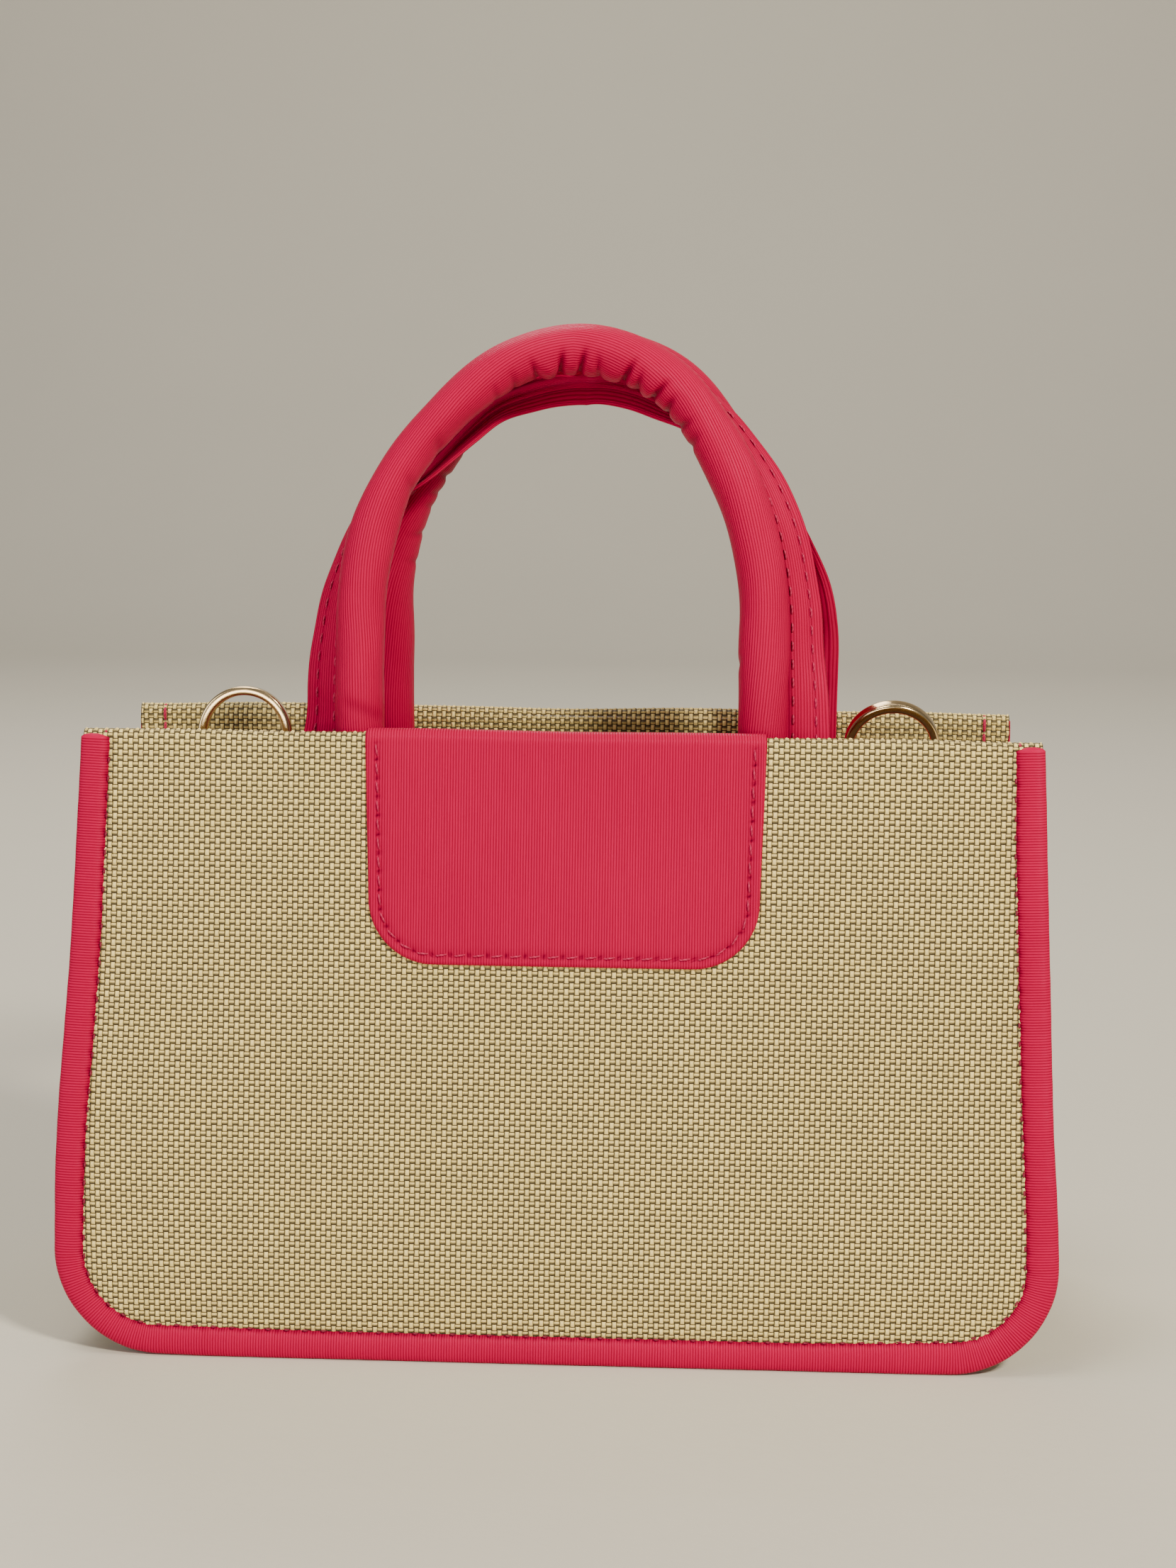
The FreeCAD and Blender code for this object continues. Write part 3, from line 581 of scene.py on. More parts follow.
def make_materials():
    # The third straw colour is painted shade for the gaps between the yarns.
    straw = ((1.0, 0.77, 0.27), (0.96, 0.71, 0.22), (0.055, 0.032, 0.008))
    return {
        "canvas": woven_material("straw_canvas", *straw),
        # The second pink is painted shade for the rib grooves.
        "pink": ribbed_material("ribbed_pink", (0.45, 0.001, 0.050), (0.27, 0.0004, 0.022)),
        "thread": thread_material("pink_thread", (0.44, 0.006, 0.060)),
        "seam": thread_material("dark_seam_thread", (0.20, 0.008, 0.03)),
        "lining": lining_material("sand_lining", (0.62, 0.54, 0.42)),
        "board": board_material("grey_board", (0.42, 0.40, 0.37)),
        "foam": board_material("white_filler", (0.75, 0.73, 0.70)),
        "gold": metal_material("pale_gold", (0.64, 0.46, 0.24)),
        "floor": floor_material("pale_floor", (0.56, 0.52, 0.43)),
    }


# ---------------------------------------------------------------- flat panel and where it stands
def to_back(points):
    return np.asarray(points, float) * np.array([-1.0, -1.0, 1.0])


def side_swell(x, up):
    """The panels' sides aren't quite straight: a soft swell low on the left, a smaller one on the right."""
    left = -1.5 * MM * bump_at(up, 56 * MM, 38 * MM) * step_smooth(-x, 70 * MM, 122 * MM)
    right = 0.8 * MM * bump_at(up, 34 * MM, 22 * MM) * step_smooth(x, 70 * MM, 122 * MM)
    return left + right


def stand_front(points):
    """Carry points (x, depth, up) of the flat panel to the leaning front of the bag."""
    points = np.asarray(points, float)
    x, depth, up = points[..., 0], points[..., 1], points[..., 2]
    y = depth * math.cos(LEAN) + up * math.sin(LEAN) - BASE_DEPTH / 2
    z = up * math.cos(LEAN) - depth * math.sin(LEAN) - FLOOR_PRESS
    return np.stack([x + side_swell(x, up), y, z], axis=-1)


def stand_back(points):
    return to_back(stand_front(points))


def outer_normals(place, count):
    """The direction off the panel's outer face, once for every point of a line."""
    face = place(np.array([0.0, -1.0, 0.0])) - place(np.zeros(3))
    return np.repeat(face[None, :], count, axis=0)


def side_half(up, inset):
    """Half width between the straight tapering sides at a height, drawn in by inset."""
    return HALF_WIDTH_LOW - (up - WIDEST_UP) * math.tan(TAPER) - inset / math.cos(TAPER)


def row_half(up, inset):
    """Half width of the outline at a height, drawn in by inset, with the rounded lower corners."""
    radius = CORNER_RADIUS - inset
    drop = CORNER_RADIUS + radius * math.sin(TAPER) - up
    below = np.clip(CORNER_RADIUS - up, -radius, radius)
    corner = CORNER_X + np.sqrt(np.clip(radius**2 - below**2, 0, None))
    return np.where(drop > 0, corner, side_half(up, inset))


def edge_distance(x, up):
    """How far a point of the panel lies inside the outer outline."""
    side = (side_half(up, 0) - np.abs(x)) * math.cos(TAPER)
    corner = CORNER_RADIUS - np.hypot(np.abs(x) - CORNER_X, up - CORNER_RADIUS)
    in_corner = (np.abs(x) > CORNER_X) & (up < CORNER_RADIUS)
    return np.where(in_corner, corner, np.minimum(side, up))


def outline_path(inset, top, step):
    """Points (x, up), outward directions and running length from the left upper end to the right one."""
    radius = CORNER_RADIUS - inset
    turn = TAPER + math.pi / 2
    side_length = (top - CORNER_RADIUS - radius * math.sin(TAPER)) / math.cos(TAPER)
    half_length = CORNER_X + radius * turn + side_length
    count = int(round(2 * half_length / step))
    running = np.linspace(0, 2 * half_length, count + 1)
    t = np.abs(running - half_length)
    sign = np.where(running < half_length, -1.0, 1.0)
    angle = np.clip(-math.pi / 2 + (t - CORNER_X) / radius, -math.pi / 2, TAPER)
    beyond = np.clip(t - CORNER_X - radius * turn, 0, None)
    x = np.minimum(t, CORNER_X) + radius * np.cos(angle) - beyond * math.sin(TAPER)
    up = CORNER_RADIUS + radius * np.sin(angle) + beyond * math.cos(TAPER)
    outward = np.stack([sign * np.cos(angle), np.sin(angle)], axis=-1)
    outward[t < 1e-9, 0] = 0.0
    return np.stack([sign * x, up], axis=-1), outward, running


def panel_wave(x, up):
    """Slow unevenness of the stretched panel, towards the bag; nothing at the seams."""
    room = step_smooth(edge_distance(x, np.minimum(up, 120 * MM)), SEAM_INSET, 27 * MM)
    slow = np.sin(x / (31 * MM) + 0.7) * np.cos(up / (24 * MM) + 0.4)
    slow = slow + 0.6 * np.sin(x / (17 * MM) + up / (22 * MM))
    return room * (0.2 * MM * slow - PANEL_CROWN * np.cos(x / (165 * MM)) ** 2)


def rim_wave(x):
    """The folded rim isn't quite straight."""
    return waves(x, 21, (61 * MM, 97 * MM, 173 * MM), 0.22 * MM)


def fold_profile(run, radius):
    """Depth, height and outward normal along a sheet that goes up the face and over the rim."""
    angle = np.clip((run - SHOULDER) / radius, 0, math.pi)
    down = np.clip(run - SHOULDER - math.pi * radius, 0, None)
    depth = RIM_RADIUS - radius * np.cos(angle)
    up = np.minimum(run, SHOULDER) + radius * np.sin(angle) - down
    return depth, up, -np.cos(angle), np.sin(angle)


# ---------------------------------------------------------------- woven canvas
def weave_relief(columns, rows):
    """Raised middle of each yarn float and sunken crossings, two grid steps to a yarn."""
    c, r = np.meshgrid(np.arange(columns), np.arange(rows))
    middle = (c % 2 == 1) & (r % 2 == 1)
    crossing = (c % 2 == 0) & (r % 2 == 0)
    warp = ((c // 2 + r // 2) % 2) == 0
    relief = np.full(c.shape, -0.03 * MM)
    relief[middle & warp] = 0.26 * MM
    relief[middle & ~warp] = 0.12 * MM
    relief[crossing] = -0.16 * MM
    return relief


def canvas_half(run, up, hidden):
    """Half width of the sheet along its run: behind the piping, at its free ears, and at the facing."""
    ear = side_half(PIPING_TOP_UP, EAR_INSET)
    half = np.where(run > PIPING_TOP_UP, ear, row_half(run, WOVEN_EDGE_INSET))
    half = np.where(hidden, side_half(up, SEAM_INSET), half)
    return half + waves(run, 5, (6 * MM, 11 * MM), 0.15 * MM)


def canvas_face(name, place, material):
    """Outer face, fold over the rim and inside facing of one panel, as one woven sheet."""
    step_x, step_v = WEAVE_PITCH_X / 2, WEAVE_PITCH_Z / 2
    rows = int((FOLD_END + FACING_DROP - RIM_RADIUS - WOVEN_EDGE_INSET) / step_v)
    half_columns = int(HALF_WIDTH_LOW / step_x)
    columns = 2 * half_columns + 1
    flat_x = np.broadcast_to((np.arange(columns) - half_columns) * step_x, (rows, columns))
    run = (WOVEN_EDGE_INSET + np.arange(rows) * step_v)[:, None]
    depth, up, normal_depth, normal_up = fold_profile(run, RIM_RADIUS)
    front, inside = run < SHOULDER, run > FOLD_END
    hidden = inside & (up < FACING_EAR_UP)
    sewn = front & (up < PIPING_TOP_UP)
    half = canvas_half(run, up, hidden)
    x = np.clip(flat_x, -half, half)
    relief = np.where(np.abs(flat_x) > half, -0.1 * MM, weave_relief(columns, rows))
    seam = edge_distance(x, np.broadcast_to(up, x.shape)) - SEAM_INSET
    dip = np.where(sewn, SEAM_DIP * np.exp(-np.clip(seam, 0, None) / (1.3 * MM)), 0)
    wave = np.where(front, panel_wave(x, up), panel_wave(x, SHOULDER)) * np.where(inside, 0.5, 1.0)
    near = step_smooth(run, NEAR_RIM, RIM_UP) * ~inside
    lift = rim_wave(x) * (near + (~front & ~inside) + inside * 0.5)
    points = point_list(x, depth + normal_depth * relief + dip + wave, up + normal_up * relief + lift)
    yarns_across = x / WEAVE_PITCH_X + 0.5 * half_columns
    cloth = point_list(yarns_across, (run - WOVEN_EDGE_INSET) / WEAVE_PITCH_Z, 0.0)
    # Painted shade in a line along the seam against the piping.
    painted_shade = (np.where(seam < 1.2 * MM, 0.35, 0.0) * sewn).reshape(-1)
    free = np.where((run > PIPING_TOP_UP) & ~hidden)[0]
    edge_points, edge_faces, edge_cloth = free_edges(points.reshape(rows, columns, 3)[free], run[free])
    faces = list(drop_flat(points, grid_faces(rows, columns))) + [quad + len(points) for quad in edge_faces]
    points = np.concatenate([points, edge_points])
    cloth = np.concatenate([cloth, edge_cloth])
    # Painted shade on the turned-in free edges.
    painted_shade = np.concatenate([painted_shade, np.full(len(edge_points), 0.15)])
    return clean(new_object(name, place(points), faces, material, cloth, painted_shade))


def free_edges(rows, run):
    """Thickness of the canvas along its free side edges beside the rim: a strip turned inwards."""
    _, _, normal_depth, normal_up = fold_profile(run[:, 0], RIM_RADIUS)
    inward = np.stack([np.zeros(len(run)), -normal_depth, -normal_up], axis=-1) * CANVAS
    shares = np.array([0.0, 0.35, 1.0])
    bulge = 0.25 * MM * np.sin(math.pi * np.minimum(1, shares + 0.25))
    points, faces = [], []
    for side, column in ((-1, 0), (1, -1)):
        strip = rows[:, column, None, :] + inward[:, None, :] * shares[:, None]
        strip[..., 0] += side * bulge
        faces += list(grid_faces(len(run), len(shares), flip=side > 0) + len(points) * strip[..., 0].size)
        points.append(strip.reshape(-1, 3))
    cloth = point_list(shares * 1.3, run / WEAVE_PITCH_Z, 0.0)
    return np.concatenate(points), faces, np.tile(cloth, (2, 1))


# ---------------------------------------------------------------- piping
def piping_section(count):
    """Flattened round section: offsets outward and towards the front."""
    return rounded_box(count, PIPING_WIDTH, PIPING_THICKNESS, 2 / 2.7, 2 / 2.7)


def piping_trim(x, up):
    """How much narrower the band's outer front edge is: pulled tight round the corners, pressed below."""
    low = 1 - step_smooth(up, 6 * MM, 30 * MM)
    corner = bump_at(np.abs(x), CORNER_X + 12 * MM, 17 * MM) * (1 - step_smooth(up, 24 * MM, 52 * MM))
    return 0.35 * MM * low + np.where(x < 0, 0.7 * MM, 0.3 * MM) * corner


def band_extra(x, up):
    """How much further the band reaches inwards: wider on the right side and round the lower corners."""
    corner = bump_at(np.abs(x), CORNER_X + 4 * MM, 26 * MM) * (1 - step_smooth(up, 20 * MM, 60 * MM))
    right = 0.6 * MM * step_smooth(x, 60 * MM, 115 * MM) * step_smooth(160 * MM - up, 0, 30 * MM)
    left = 0.5 * MM * step_smooth(-x, 60 * MM, 115 * MM) * bump_at(up, 90 * MM, 40 * MM)
    return right + left + corner * np.where(x > 0, 0.9 * MM, 0.7 * MM)


def piping(name, place, material):
    """Leatherette tube round the panel's edge, drawn in at every stitch of its seam."""
    path, outward, running = outline_path(PIPING_WIDTH / 2, PIPING_TOP_UP, 0.6 * MM)
    x, up, running = path[:, 0:1], path[:, 1:2], running[:, None]
    across, front = piping_section(36)
    pull = bump_at((running + STITCH_PITCH / 2) % STITCH_PITCH, STITCH_PITCH / 2, 0.7 * MM)
    inner_edge = bump_at(across, -PIPING_WIDTH / 2 + 0.3 * MM, 0.7 * MM)
    facing = front > -0.2 * MM
    a = across * (1 + waves(running, 3, (9 * MM, 23 * MM, 57 * MM), 0.014))
    d = front * (1 + waves(running, 4, (7 * MM, 19 * MM, 43 * MM), 0.03))
    a = a + pull * inner_edge * 0.10 * MM
    d = d - pull * inner_edge * facing * 0.14 * MM
    slope = np.clip(-across / (PIPING_WIDTH / 2), 0, 1)
    d = d - np.clip(d, 0, None) * 0.45 * slope**2
    outer_front = np.clip(across / (PIPING_WIDTH / 2), 0, 1) * np.clip(0.5 + front / PIPING_THICKNESS, 0, 1)
    a = a - piping_trim(x, up) * outer_front
    a = a - band_extra(x, up) * np.clip(0.5 - across / PIPING_WIDTH, 0, 1)
    centre_depth = PIPING_BACK - PIPING_THICKNESS / 2
    points = place(point_list(x + outward[:, 0:1] * a, centre_depth - d, up + outward[:, 1:2] * a))
    points[:, 2] = np.maximum(points[:, 2], 0.0)
    cloth = point_list(running, across, 0.0)
    # Painted shade where each stitch pulls the band in and along its inner edge against the canvas.
    painted_shade = (0.25 * pull * inner_edge * facing + 0.30 * inner_edge**3 * facing).reshape(-1)
    points, faces, cloth, painted_shade = capped_tube(points, len(across), cloth, painted_shade)
    return new_object(name, points, faces, material, cloth, painted_shade)


def piping_core(name, place, material):
    """Soft filler inside the piping."""
    thinner_across, thinner_through = 0.55, 0.5
    path, outward, _ = outline_path(PIPING_WIDTH / 2, PIPING_TOP_UP - 1 * MM, 2.0 * MM)
    across, front = piping_section(16)
    x = path[:, 0:1] + outward[:, 0:1] * across * thinner_across
    up = path[:, 1:2] + outward[:, 1:2] * across * thinner_across
    depth = PIPING_BACK - PIPING_THICKNESS / 2 - front * thinner_through
    points, faces, _, _ = capped_tube(place(point_list(x, depth, up)), len(across))
    return new_object(name, points, faces, material)


def seam_stitches(name, place, material):
    """Seam thread between the piping and the canvas, half sunk between them."""
    path, outward, _ = outline_path(SEAM_INSET + 0.15 * MM, PIPING_TOP_UP - 1 * MM, 0.6 * MM)
    path = path - outward * band_extra(path[:, 0:1], path[:, 1:2])
    line = place(point_list(path[:, 0], -0.15 * MM, path[:, 1]))
    normals = outer_normals(place, len(line))
    row = stitches_along(line, normals, share=0.30, offset=STITCH_PITCH * 0.5)
    return stitch_mesh(name, [row], material, 0.26 * MM, 0.1 * MM)


# ---------------------------------------------------------------- patch
def patch_half(up):
    """Half width of the patch at a height."""
    share = np.clip((up - PATCH_CORNER_UP) / (SHOULDER - PATCH_CORNER_UP), 0, 1)
    straight = PATCH_HALF_LOW + (PATCH_HALF_TOP - PATCH_HALF_LOW) * share
    below = np.clip(PATCH_CORNER_UP - up, 0, PATCH_CORNER)
    return straight - PATCH_CORNER + np.sqrt(np.clip(PATCH_CORNER**2 - below**2, 0, None))


def patch_edge_distance(x, up):
    """How far a point of the patch lies inside its outline."""
    straight = patch_half(np.maximum(up, PATCH_CORNER_UP))
    corner_x = straight - PATCH_CORNER
    in_corner = (np.abs(x) > corner_x) & (up < PATCH_CORNER_UP)
    corner = PATCH_CORNER - np.hypot(np.abs(x) - corner_x, up - PATCH_CORNER_UP)
    return np.where(in_corner, corner, np.minimum(straight - np.abs(x), up - PATCH_LOW))


def patch_stitch_path(step):
    """Stitch line of the patch, relative to the patch's middle: up from one side round to the other."""
    low = PATCH_LOW + PATCH_STITCH_LOW
    radius = PATCH_CORNER - PATCH_STITCH_SIDE
    side = PATCH_HALF_LOW - PATCH_STITCH_SIDE
    top_side = PATCH_HALF_TOP - PATCH_STITCH_SIDE
    ups = np.arange(SHOULDER, low + radius, -step)
    share = (ups - low - radius) / (SHOULDER - low - radius)
    left = np.stack([-(side + (top_side - side) * share), ups], axis=-1)
    angle = np.linspace(math.pi, 1.5 * math.pi, int(radius * math.pi / 2 / step))
    corner_x, corner_up = -side + radius + radius * np.cos(angle), low + radius + radius * np.sin(angle)
    corner = np.stack([corner_x, corner_up], axis=-1)
    flat_x = np.arange(-side + radius, 0, step)
    flat = np.stack([flat_x, np.full(len(flat_x), low)], axis=-1)
    half = np.concatenate([left, corner[1:], flat[1:]])
    return np.concatenate([half, half[-2::-1] * np.array([-1.0, 1.0])])


def nearest_gap(x, up, spots):
    """Distance from every point to the nearest of some spots."""
    gap = np.full(x.shape, np.inf)
    for spot_x, spot_up in spots:
        gap = np.minimum(gap, np.hypot(x - spot_x, up - spot_up))
    return gap


def patch_grid(radius):
    """Flat x and run of the patch's rows and columns, closer together towards its edges."""
    fine = np.array([0.0, 0.12, 0.3, 0.55, 0.85, 1.2, 1.7]) * MM
    face = np.arange(PATCH_LOW + 2.3 * MM, SHOULDER, 0.62 * MM)
    arc = SHOULDER + np.linspace(0, math.pi * radius, 16)
    inner = np.arange(arc[-1] + 1.0 * MM, arc[-1] + PATCH_INNER_DROP - RIM_RADIUS, 1.0 * MM)
    run = np.concatenate([PATCH_LOW + fine, face, arc, inner])[:, None]
    half = patch_half(np.minimum(run, SHOULDER))
    middle = np.linspace(-1, 1, 150) * (half - fine[-1] - 0.5 * MM)
    return np.concatenate([fine - half, middle, half - fine[::-1]], axis=1), run, half


def patch(material):
    """Leatherette patch over the rim: rounded edges, ribs, dimples where the thread goes in."""
    radius = RIM_RADIUS + 0.05 * MM + LEATHERETTE
    x, run, half = patch_grid(radius)
    depth, up, normal_depth, normal_up = fold_profile(run, radius)
    on_front = run < SHOULDER
    distance = np.where(on_front, patch_edge_distance(x, up), half - np.abs(x))
    edge = np.clip(distance / (0.95 * MM), 0, 1)
    rounding = LEATHERETTE * (1 - np.sqrt(np.clip(1 - (1 - edge) ** 2, 0, 1)))
    path = patch_stitch_path(0.5 * MM)
    length = running_length(path)
    holes = at_lengths(np.arange(0, length[-1], STITCH_PITCH), length, path)
    dimple = bump_at(nearest_gap(x, up, holes), 0, 0.62 * MM) * on_front
    trough = bump_at(nearest_gap(x, up, path[::2]), 0, 1.5 * MM) * on_front
    quilt = 0.12 * MM * bump_at(distance, 1.2 * MM, 1.0 * MM) * on_front
    inward = rounding + 0.42 * MM * dimple + 0.16 * MM * trough - quilt
    x = x + PATCH_CENTRE
    wave = panel_wave(x, np.minimum(up, SHOULDER)) * np.where(run > SHOULDER + math.pi * radius, 0.5, 1.0)
    lift = rim_wave(x) * step_smooth(run, NEAR_RIM, RIM_UP)
    points = point_list(x, depth - normal_depth * inward + wave, up - normal_up * inward + lift)
    rows, columns = x.shape
    ring = np.concatenate(
        [
            np.arange(columns),
            np.arange(1, rows) * columns + columns - 1,
            (rows - 1) * columns + np.arange(columns - 2, -1, -1),
            np.arange(rows - 2, 0, -1) * columns,
        ]
    )
    normals = np.concatenate([np.zeros_like(run), -normal_depth, -normal_up], axis=1)
    skirt = points[ring] + normals[ring // columns] * 0.5 * MM
    outer = len(points) + np.arange(len(ring))
    sides = np.stack([np.roll(ring, -1), ring, outer, np.roll(outer, -1)], axis=-1)
    faces = list(grid_faces(rows, columns)) + list(sides)
    cloth = point_list(x, run, 0.0)
    # Painted shade in the needle holes and along the stitch line.
    painted_shade = (0.95 * dimple**2 + 0.10 * trough).reshape(-1)
    points, cloth = np.concatenate([points, skirt]), np.concatenate([cloth, cloth[ring]])
    # Painted shade on the patch's side edges.
    painted_shade = np.concatenate([painted_shade, np.full(len(ring), 0.4)])
    return new_object("patch", stand_front(points), faces, material, cloth, painted_shade)


def patch_stitches(thread):
    """The patch's thread, each stitch a little slanted."""
    path = patch_stitch_path(0.5 * MM) + np.array([PATCH_CENTRE, 0.0])
    surface = -0.05 * MM - LEATHERETTE + 0.16 * MM
    line = stand_front(point_list(path[:, 0], surface + panel_wave(path[:, 0], path[:, 1]), path[:, 1]))
    starts, ends, tops = stitches_along(line, outer_normals(stand_front, len(line)), share=0.66)
    slant = np.cross(unit(ends - starts), tops) * PATCH_STITCH_SLANT
    return stitch_mesh("patch_stitches", [(starts + slant, ends - slant, tops)], thread, 0.25 * MM)


# ---------------------------------------------------------------- gussets, base and lining
def face_y(z, depth):
    """How far the panels' surface, or a depth behind it, stands from the bag's middle at a height."""
    return BASE_DEPTH / 2 - z * math.tan(LEAN) - depth / math.cos(LEAN)


def gusset_plan(z, offset):
    """Outer line of the right gusset in plan at one height, drawn inwards by offset."""
    half = face_y(z, GUSSET_BEHIND)
    edge_x = side_half(z + FLOOR_PRESS, GUSSET_INSET)
    rise = max(0.0, (z - CORNER_RADIUS) / (GUSSET_TOP - CORNER_RADIUS))
    depth = GUSSET_FOLD * rise**0.8
    closing = step_smooth(z, PINCH_START, PINCH_FULL)
    pinch_y = PINCH_SPREAD + (PINCH_HALF_GAP - PINCH_SPREAD) * closing
    straight = (half - PINCH_SPREAD) / (half - PINCH_HALF_GAP)
    share = straight + (PINCH_MOUTH - straight) * closing
    front = [(edge_x, -half), (edge_x - depth * share, -pinch_y), (edge_x - depth, -PINCH_HALF_GAP)]
    points = np.array(front + [(x, -y) for x, y in reversed(front)])
    return points - np.array([offset, 0.0])


def gusset_rows(offset, step):
    """Rows of corner points from the bottom of the rounded corner up to the gusset's upper edge."""
    radius = CORNER_RADIUS - GUSSET_INSET - offset
    rows = []
    count = int(radius * math.pi / 2 / step)
    for angle in np.linspace(-math.pi / 2, 0, count, endpoint=False):
        x = CORNER_X + radius * math.cos(angle)
        z = CORNER_RADIUS + radius * math.sin(angle) - FLOOR_PRESS
        half = face_y(z, GUSSET_BEHIND)
        ys = [-half, -PINCH_SPREAD, -PINCH_HALF_GAP, PINCH_HALF_GAP, PINCH_SPREAD, half]
        rows.append(np.array([(x, y, z) for y in ys]))
    for z in np.arange(CORNER_RADIUS, GUSSET_TOP + step / 2, step):
        z = min(z, GUSSET_TOP)
        plan = gusset_plan(z, offset)
        rows.append(np.column_stack([plan, np.full(len(plan), z)]))
    return rows


def rounded_line(points, columns, rounding):
    """Evenly spaced points along a folded line, with its corners rounded."""
    length = running_length(points)
    line = at_lengths(np.linspace(0, length[-1], columns), length, points)
    spread = max(1, int(rounding / (length[-1] / columns)))
    kernel = np.hanning(2 * spread + 3)
    kernel = kernel / kernel.sum()
    padded = np.pad(line, ((spread + 1, spread + 1), (0, 0)), mode="reflect", reflect_type="odd")
    return np.stack([np.convolve(column, kernel, mode="valid") for column in padded.T], axis=-1)


def surface_normals(grid):
    normal = np.cross(np.gradient(grid, axis=1), np.gradient(grid, axis=0))
    return normal / np.maximum(np.linalg.norm(normal, axis=-1, keepdims=True), 1e-12)


def gusset(name, side, offset, material, woven):
    """Folded side strip; side is 1 for the right one and -1 for the left."""
    step = WEAVE_PITCH_Z / 2 if woven else 2.0 * MM
    columns = 139 if woven else 61
    grid = np.array([rounded_line(row, columns, 2.2 * MM) for row in gusset_rows(offset, step)])
    height = (np.arange(len(grid)) * step)[:, None]
    y, z = grid[..., 1], grid[..., 2]
    sag = 0.5 * MM * np.sin(height / (23 * MM)) * np.sin(y / (15 * MM) + 0.6)
    free = step_smooth(np.abs(np.abs(y) - 45 * MM), 0, 12 * MM) * step_smooth(height, 10 * MM, 50 * MM)
    free = free * step_smooth(GUSSET_TOP - z, -1 * MM, 30 * MM)
    normals = surface_normals(grid)
    if woven:
        cloth = point_list(np.arange(columns) / 2, np.arange(len(grid))[:, None] / 2, 0.0)
        relief = weave_relief(columns, len(grid))
    else:
        cloth = point_list(y, height, 0.0)
        relief = np.zeros(y.shape)
    points = (grid + normals * (sag * free)[..., None] + normals * relief[..., None]).reshape(-1, 3)
    top = len(points) - columns
    hem = points[top:] - normals[-1] * CANVAS
    edge, low = top + np.arange(columns), len(points) + np.arange(columns)
    turned_in = np.stack([edge[:-1], edge[1:], low[1:], low[:-1]], axis=-1)
    faces = list(grid_faces(len(grid), columns)) + list(turned_in)
    points = np.concatenate([points, hem])
    cloth = np.concatenate([cloth, cloth[top:] + np.array([0, 0.8, 0])])
    # Painted shade on the turned-in hem.
    painted_shade = np.where(np.arange(len(points)) < top, 0.0, 0.2)
    if side < 0:
        points = to_back(points)
    return new_object(name, points, faces, material, cloth, painted_shade)


def flat_sheet(name, half, z, step, material, scale, wave=0.0):
    """Horizontal sheet for the base and its lining; scale turns metres into its cloth coordinates."""
    columns, rows = (int(2 * size / step) + 1 for size in half)
    x, y = np.meshgrid(np.linspace(-half[0], half[0], columns), np.linspace(-half[1], half[1], rows))
    points = point_list(x, y, z + wave * np.sin(x / (21 * MM)) * np.sin(y / (14 * MM) + 0.5))
    return new_object(name, points, grid_faces(rows, columns), material, points / scale)


def panel_lining(name, place, material):
    """Lining of one panel below the canvas facing."""
    step, columns = 3 * MM, 90
    top = RIM_UP - FACING_DROP
    up = np.arange(SEAM_INSET + 2 * MM, top + step, step)[:, None]
    up[-1] = top
    x = row_half(up, SEAM_INSET + 0.4 * MM) * np.linspace(-1, 1, columns)
    depth = LINING_DEPTH + 0.35 * MM * np.sin(x / (19 * MM)) * np.sin(up / (17 * MM))
    points = point_list(x, depth, up)
    cloth = points[:, [0, 2, 1]]
    return new_object(name, place(points), grid_faces(len(up), columns, flip=True), material, cloth)


# ---------------------------------------------------------------- handles
def handle_side_radius():
    """Radius of the arch's sides, which join the straight legs to the rounder top."""
    rise = HANDLE_ARCH - HANDLE_TOP_RADIUS
    run = HANDLE_LEG - HANDLE_TOP_RADIUS
    return HANDLE_LEG + (rise * rise - run * run) / (2 * run)


SIDE_RADIUS = handle_side_radius()
SIDE_SWEEP = math.atan2(HANDLE_ARCH - HANDLE_TOP_RADIUS, SIDE_RADIUS - HANDLE_LEG)
HALF_LENGTH = HANDLE_STRAIGHT + SIDE_RADIUS * SIDE_SWEEP + HANDLE_TOP_RADIUS * (math.pi / 2 - SIDE_SWEEP)


def leg_line(length):
    """Centre line and outward direction of the right half in the handle's own plane (x, z)."""
    side = np.clip(length - HANDLE_STRAIGHT, 0, SIDE_RADIUS * SIDE_SWEEP)
    top = np.clip(length - HANDLE_STRAIGHT - SIDE_RADIUS * SIDE_SWEEP, 0, None)
    angle = side / SIDE_RADIUS + top / HANDLE_TOP_RADIUS
    side_x = HANDLE_LEG - SIDE_RADIUS + SIDE_RADIUS * np.cos(angle)
    side_z = np.minimum(length, HANDLE_STRAIGHT) + SIDE_RADIUS * np.sin(angle)
    top_x = HANDLE_TOP_RADIUS * np.cos(angle)
    top_z = HANDLE_STRAIGHT + HANDLE_ARCH - HANDLE_TOP_RADIUS + HANDLE_TOP_RADIUS * np.sin(angle)
    x, z = np.where(top > 0, top_x, side_x), np.where(top > 0, top_z, side_z)
    return x, z, np.cos(angle), np.sin(angle)


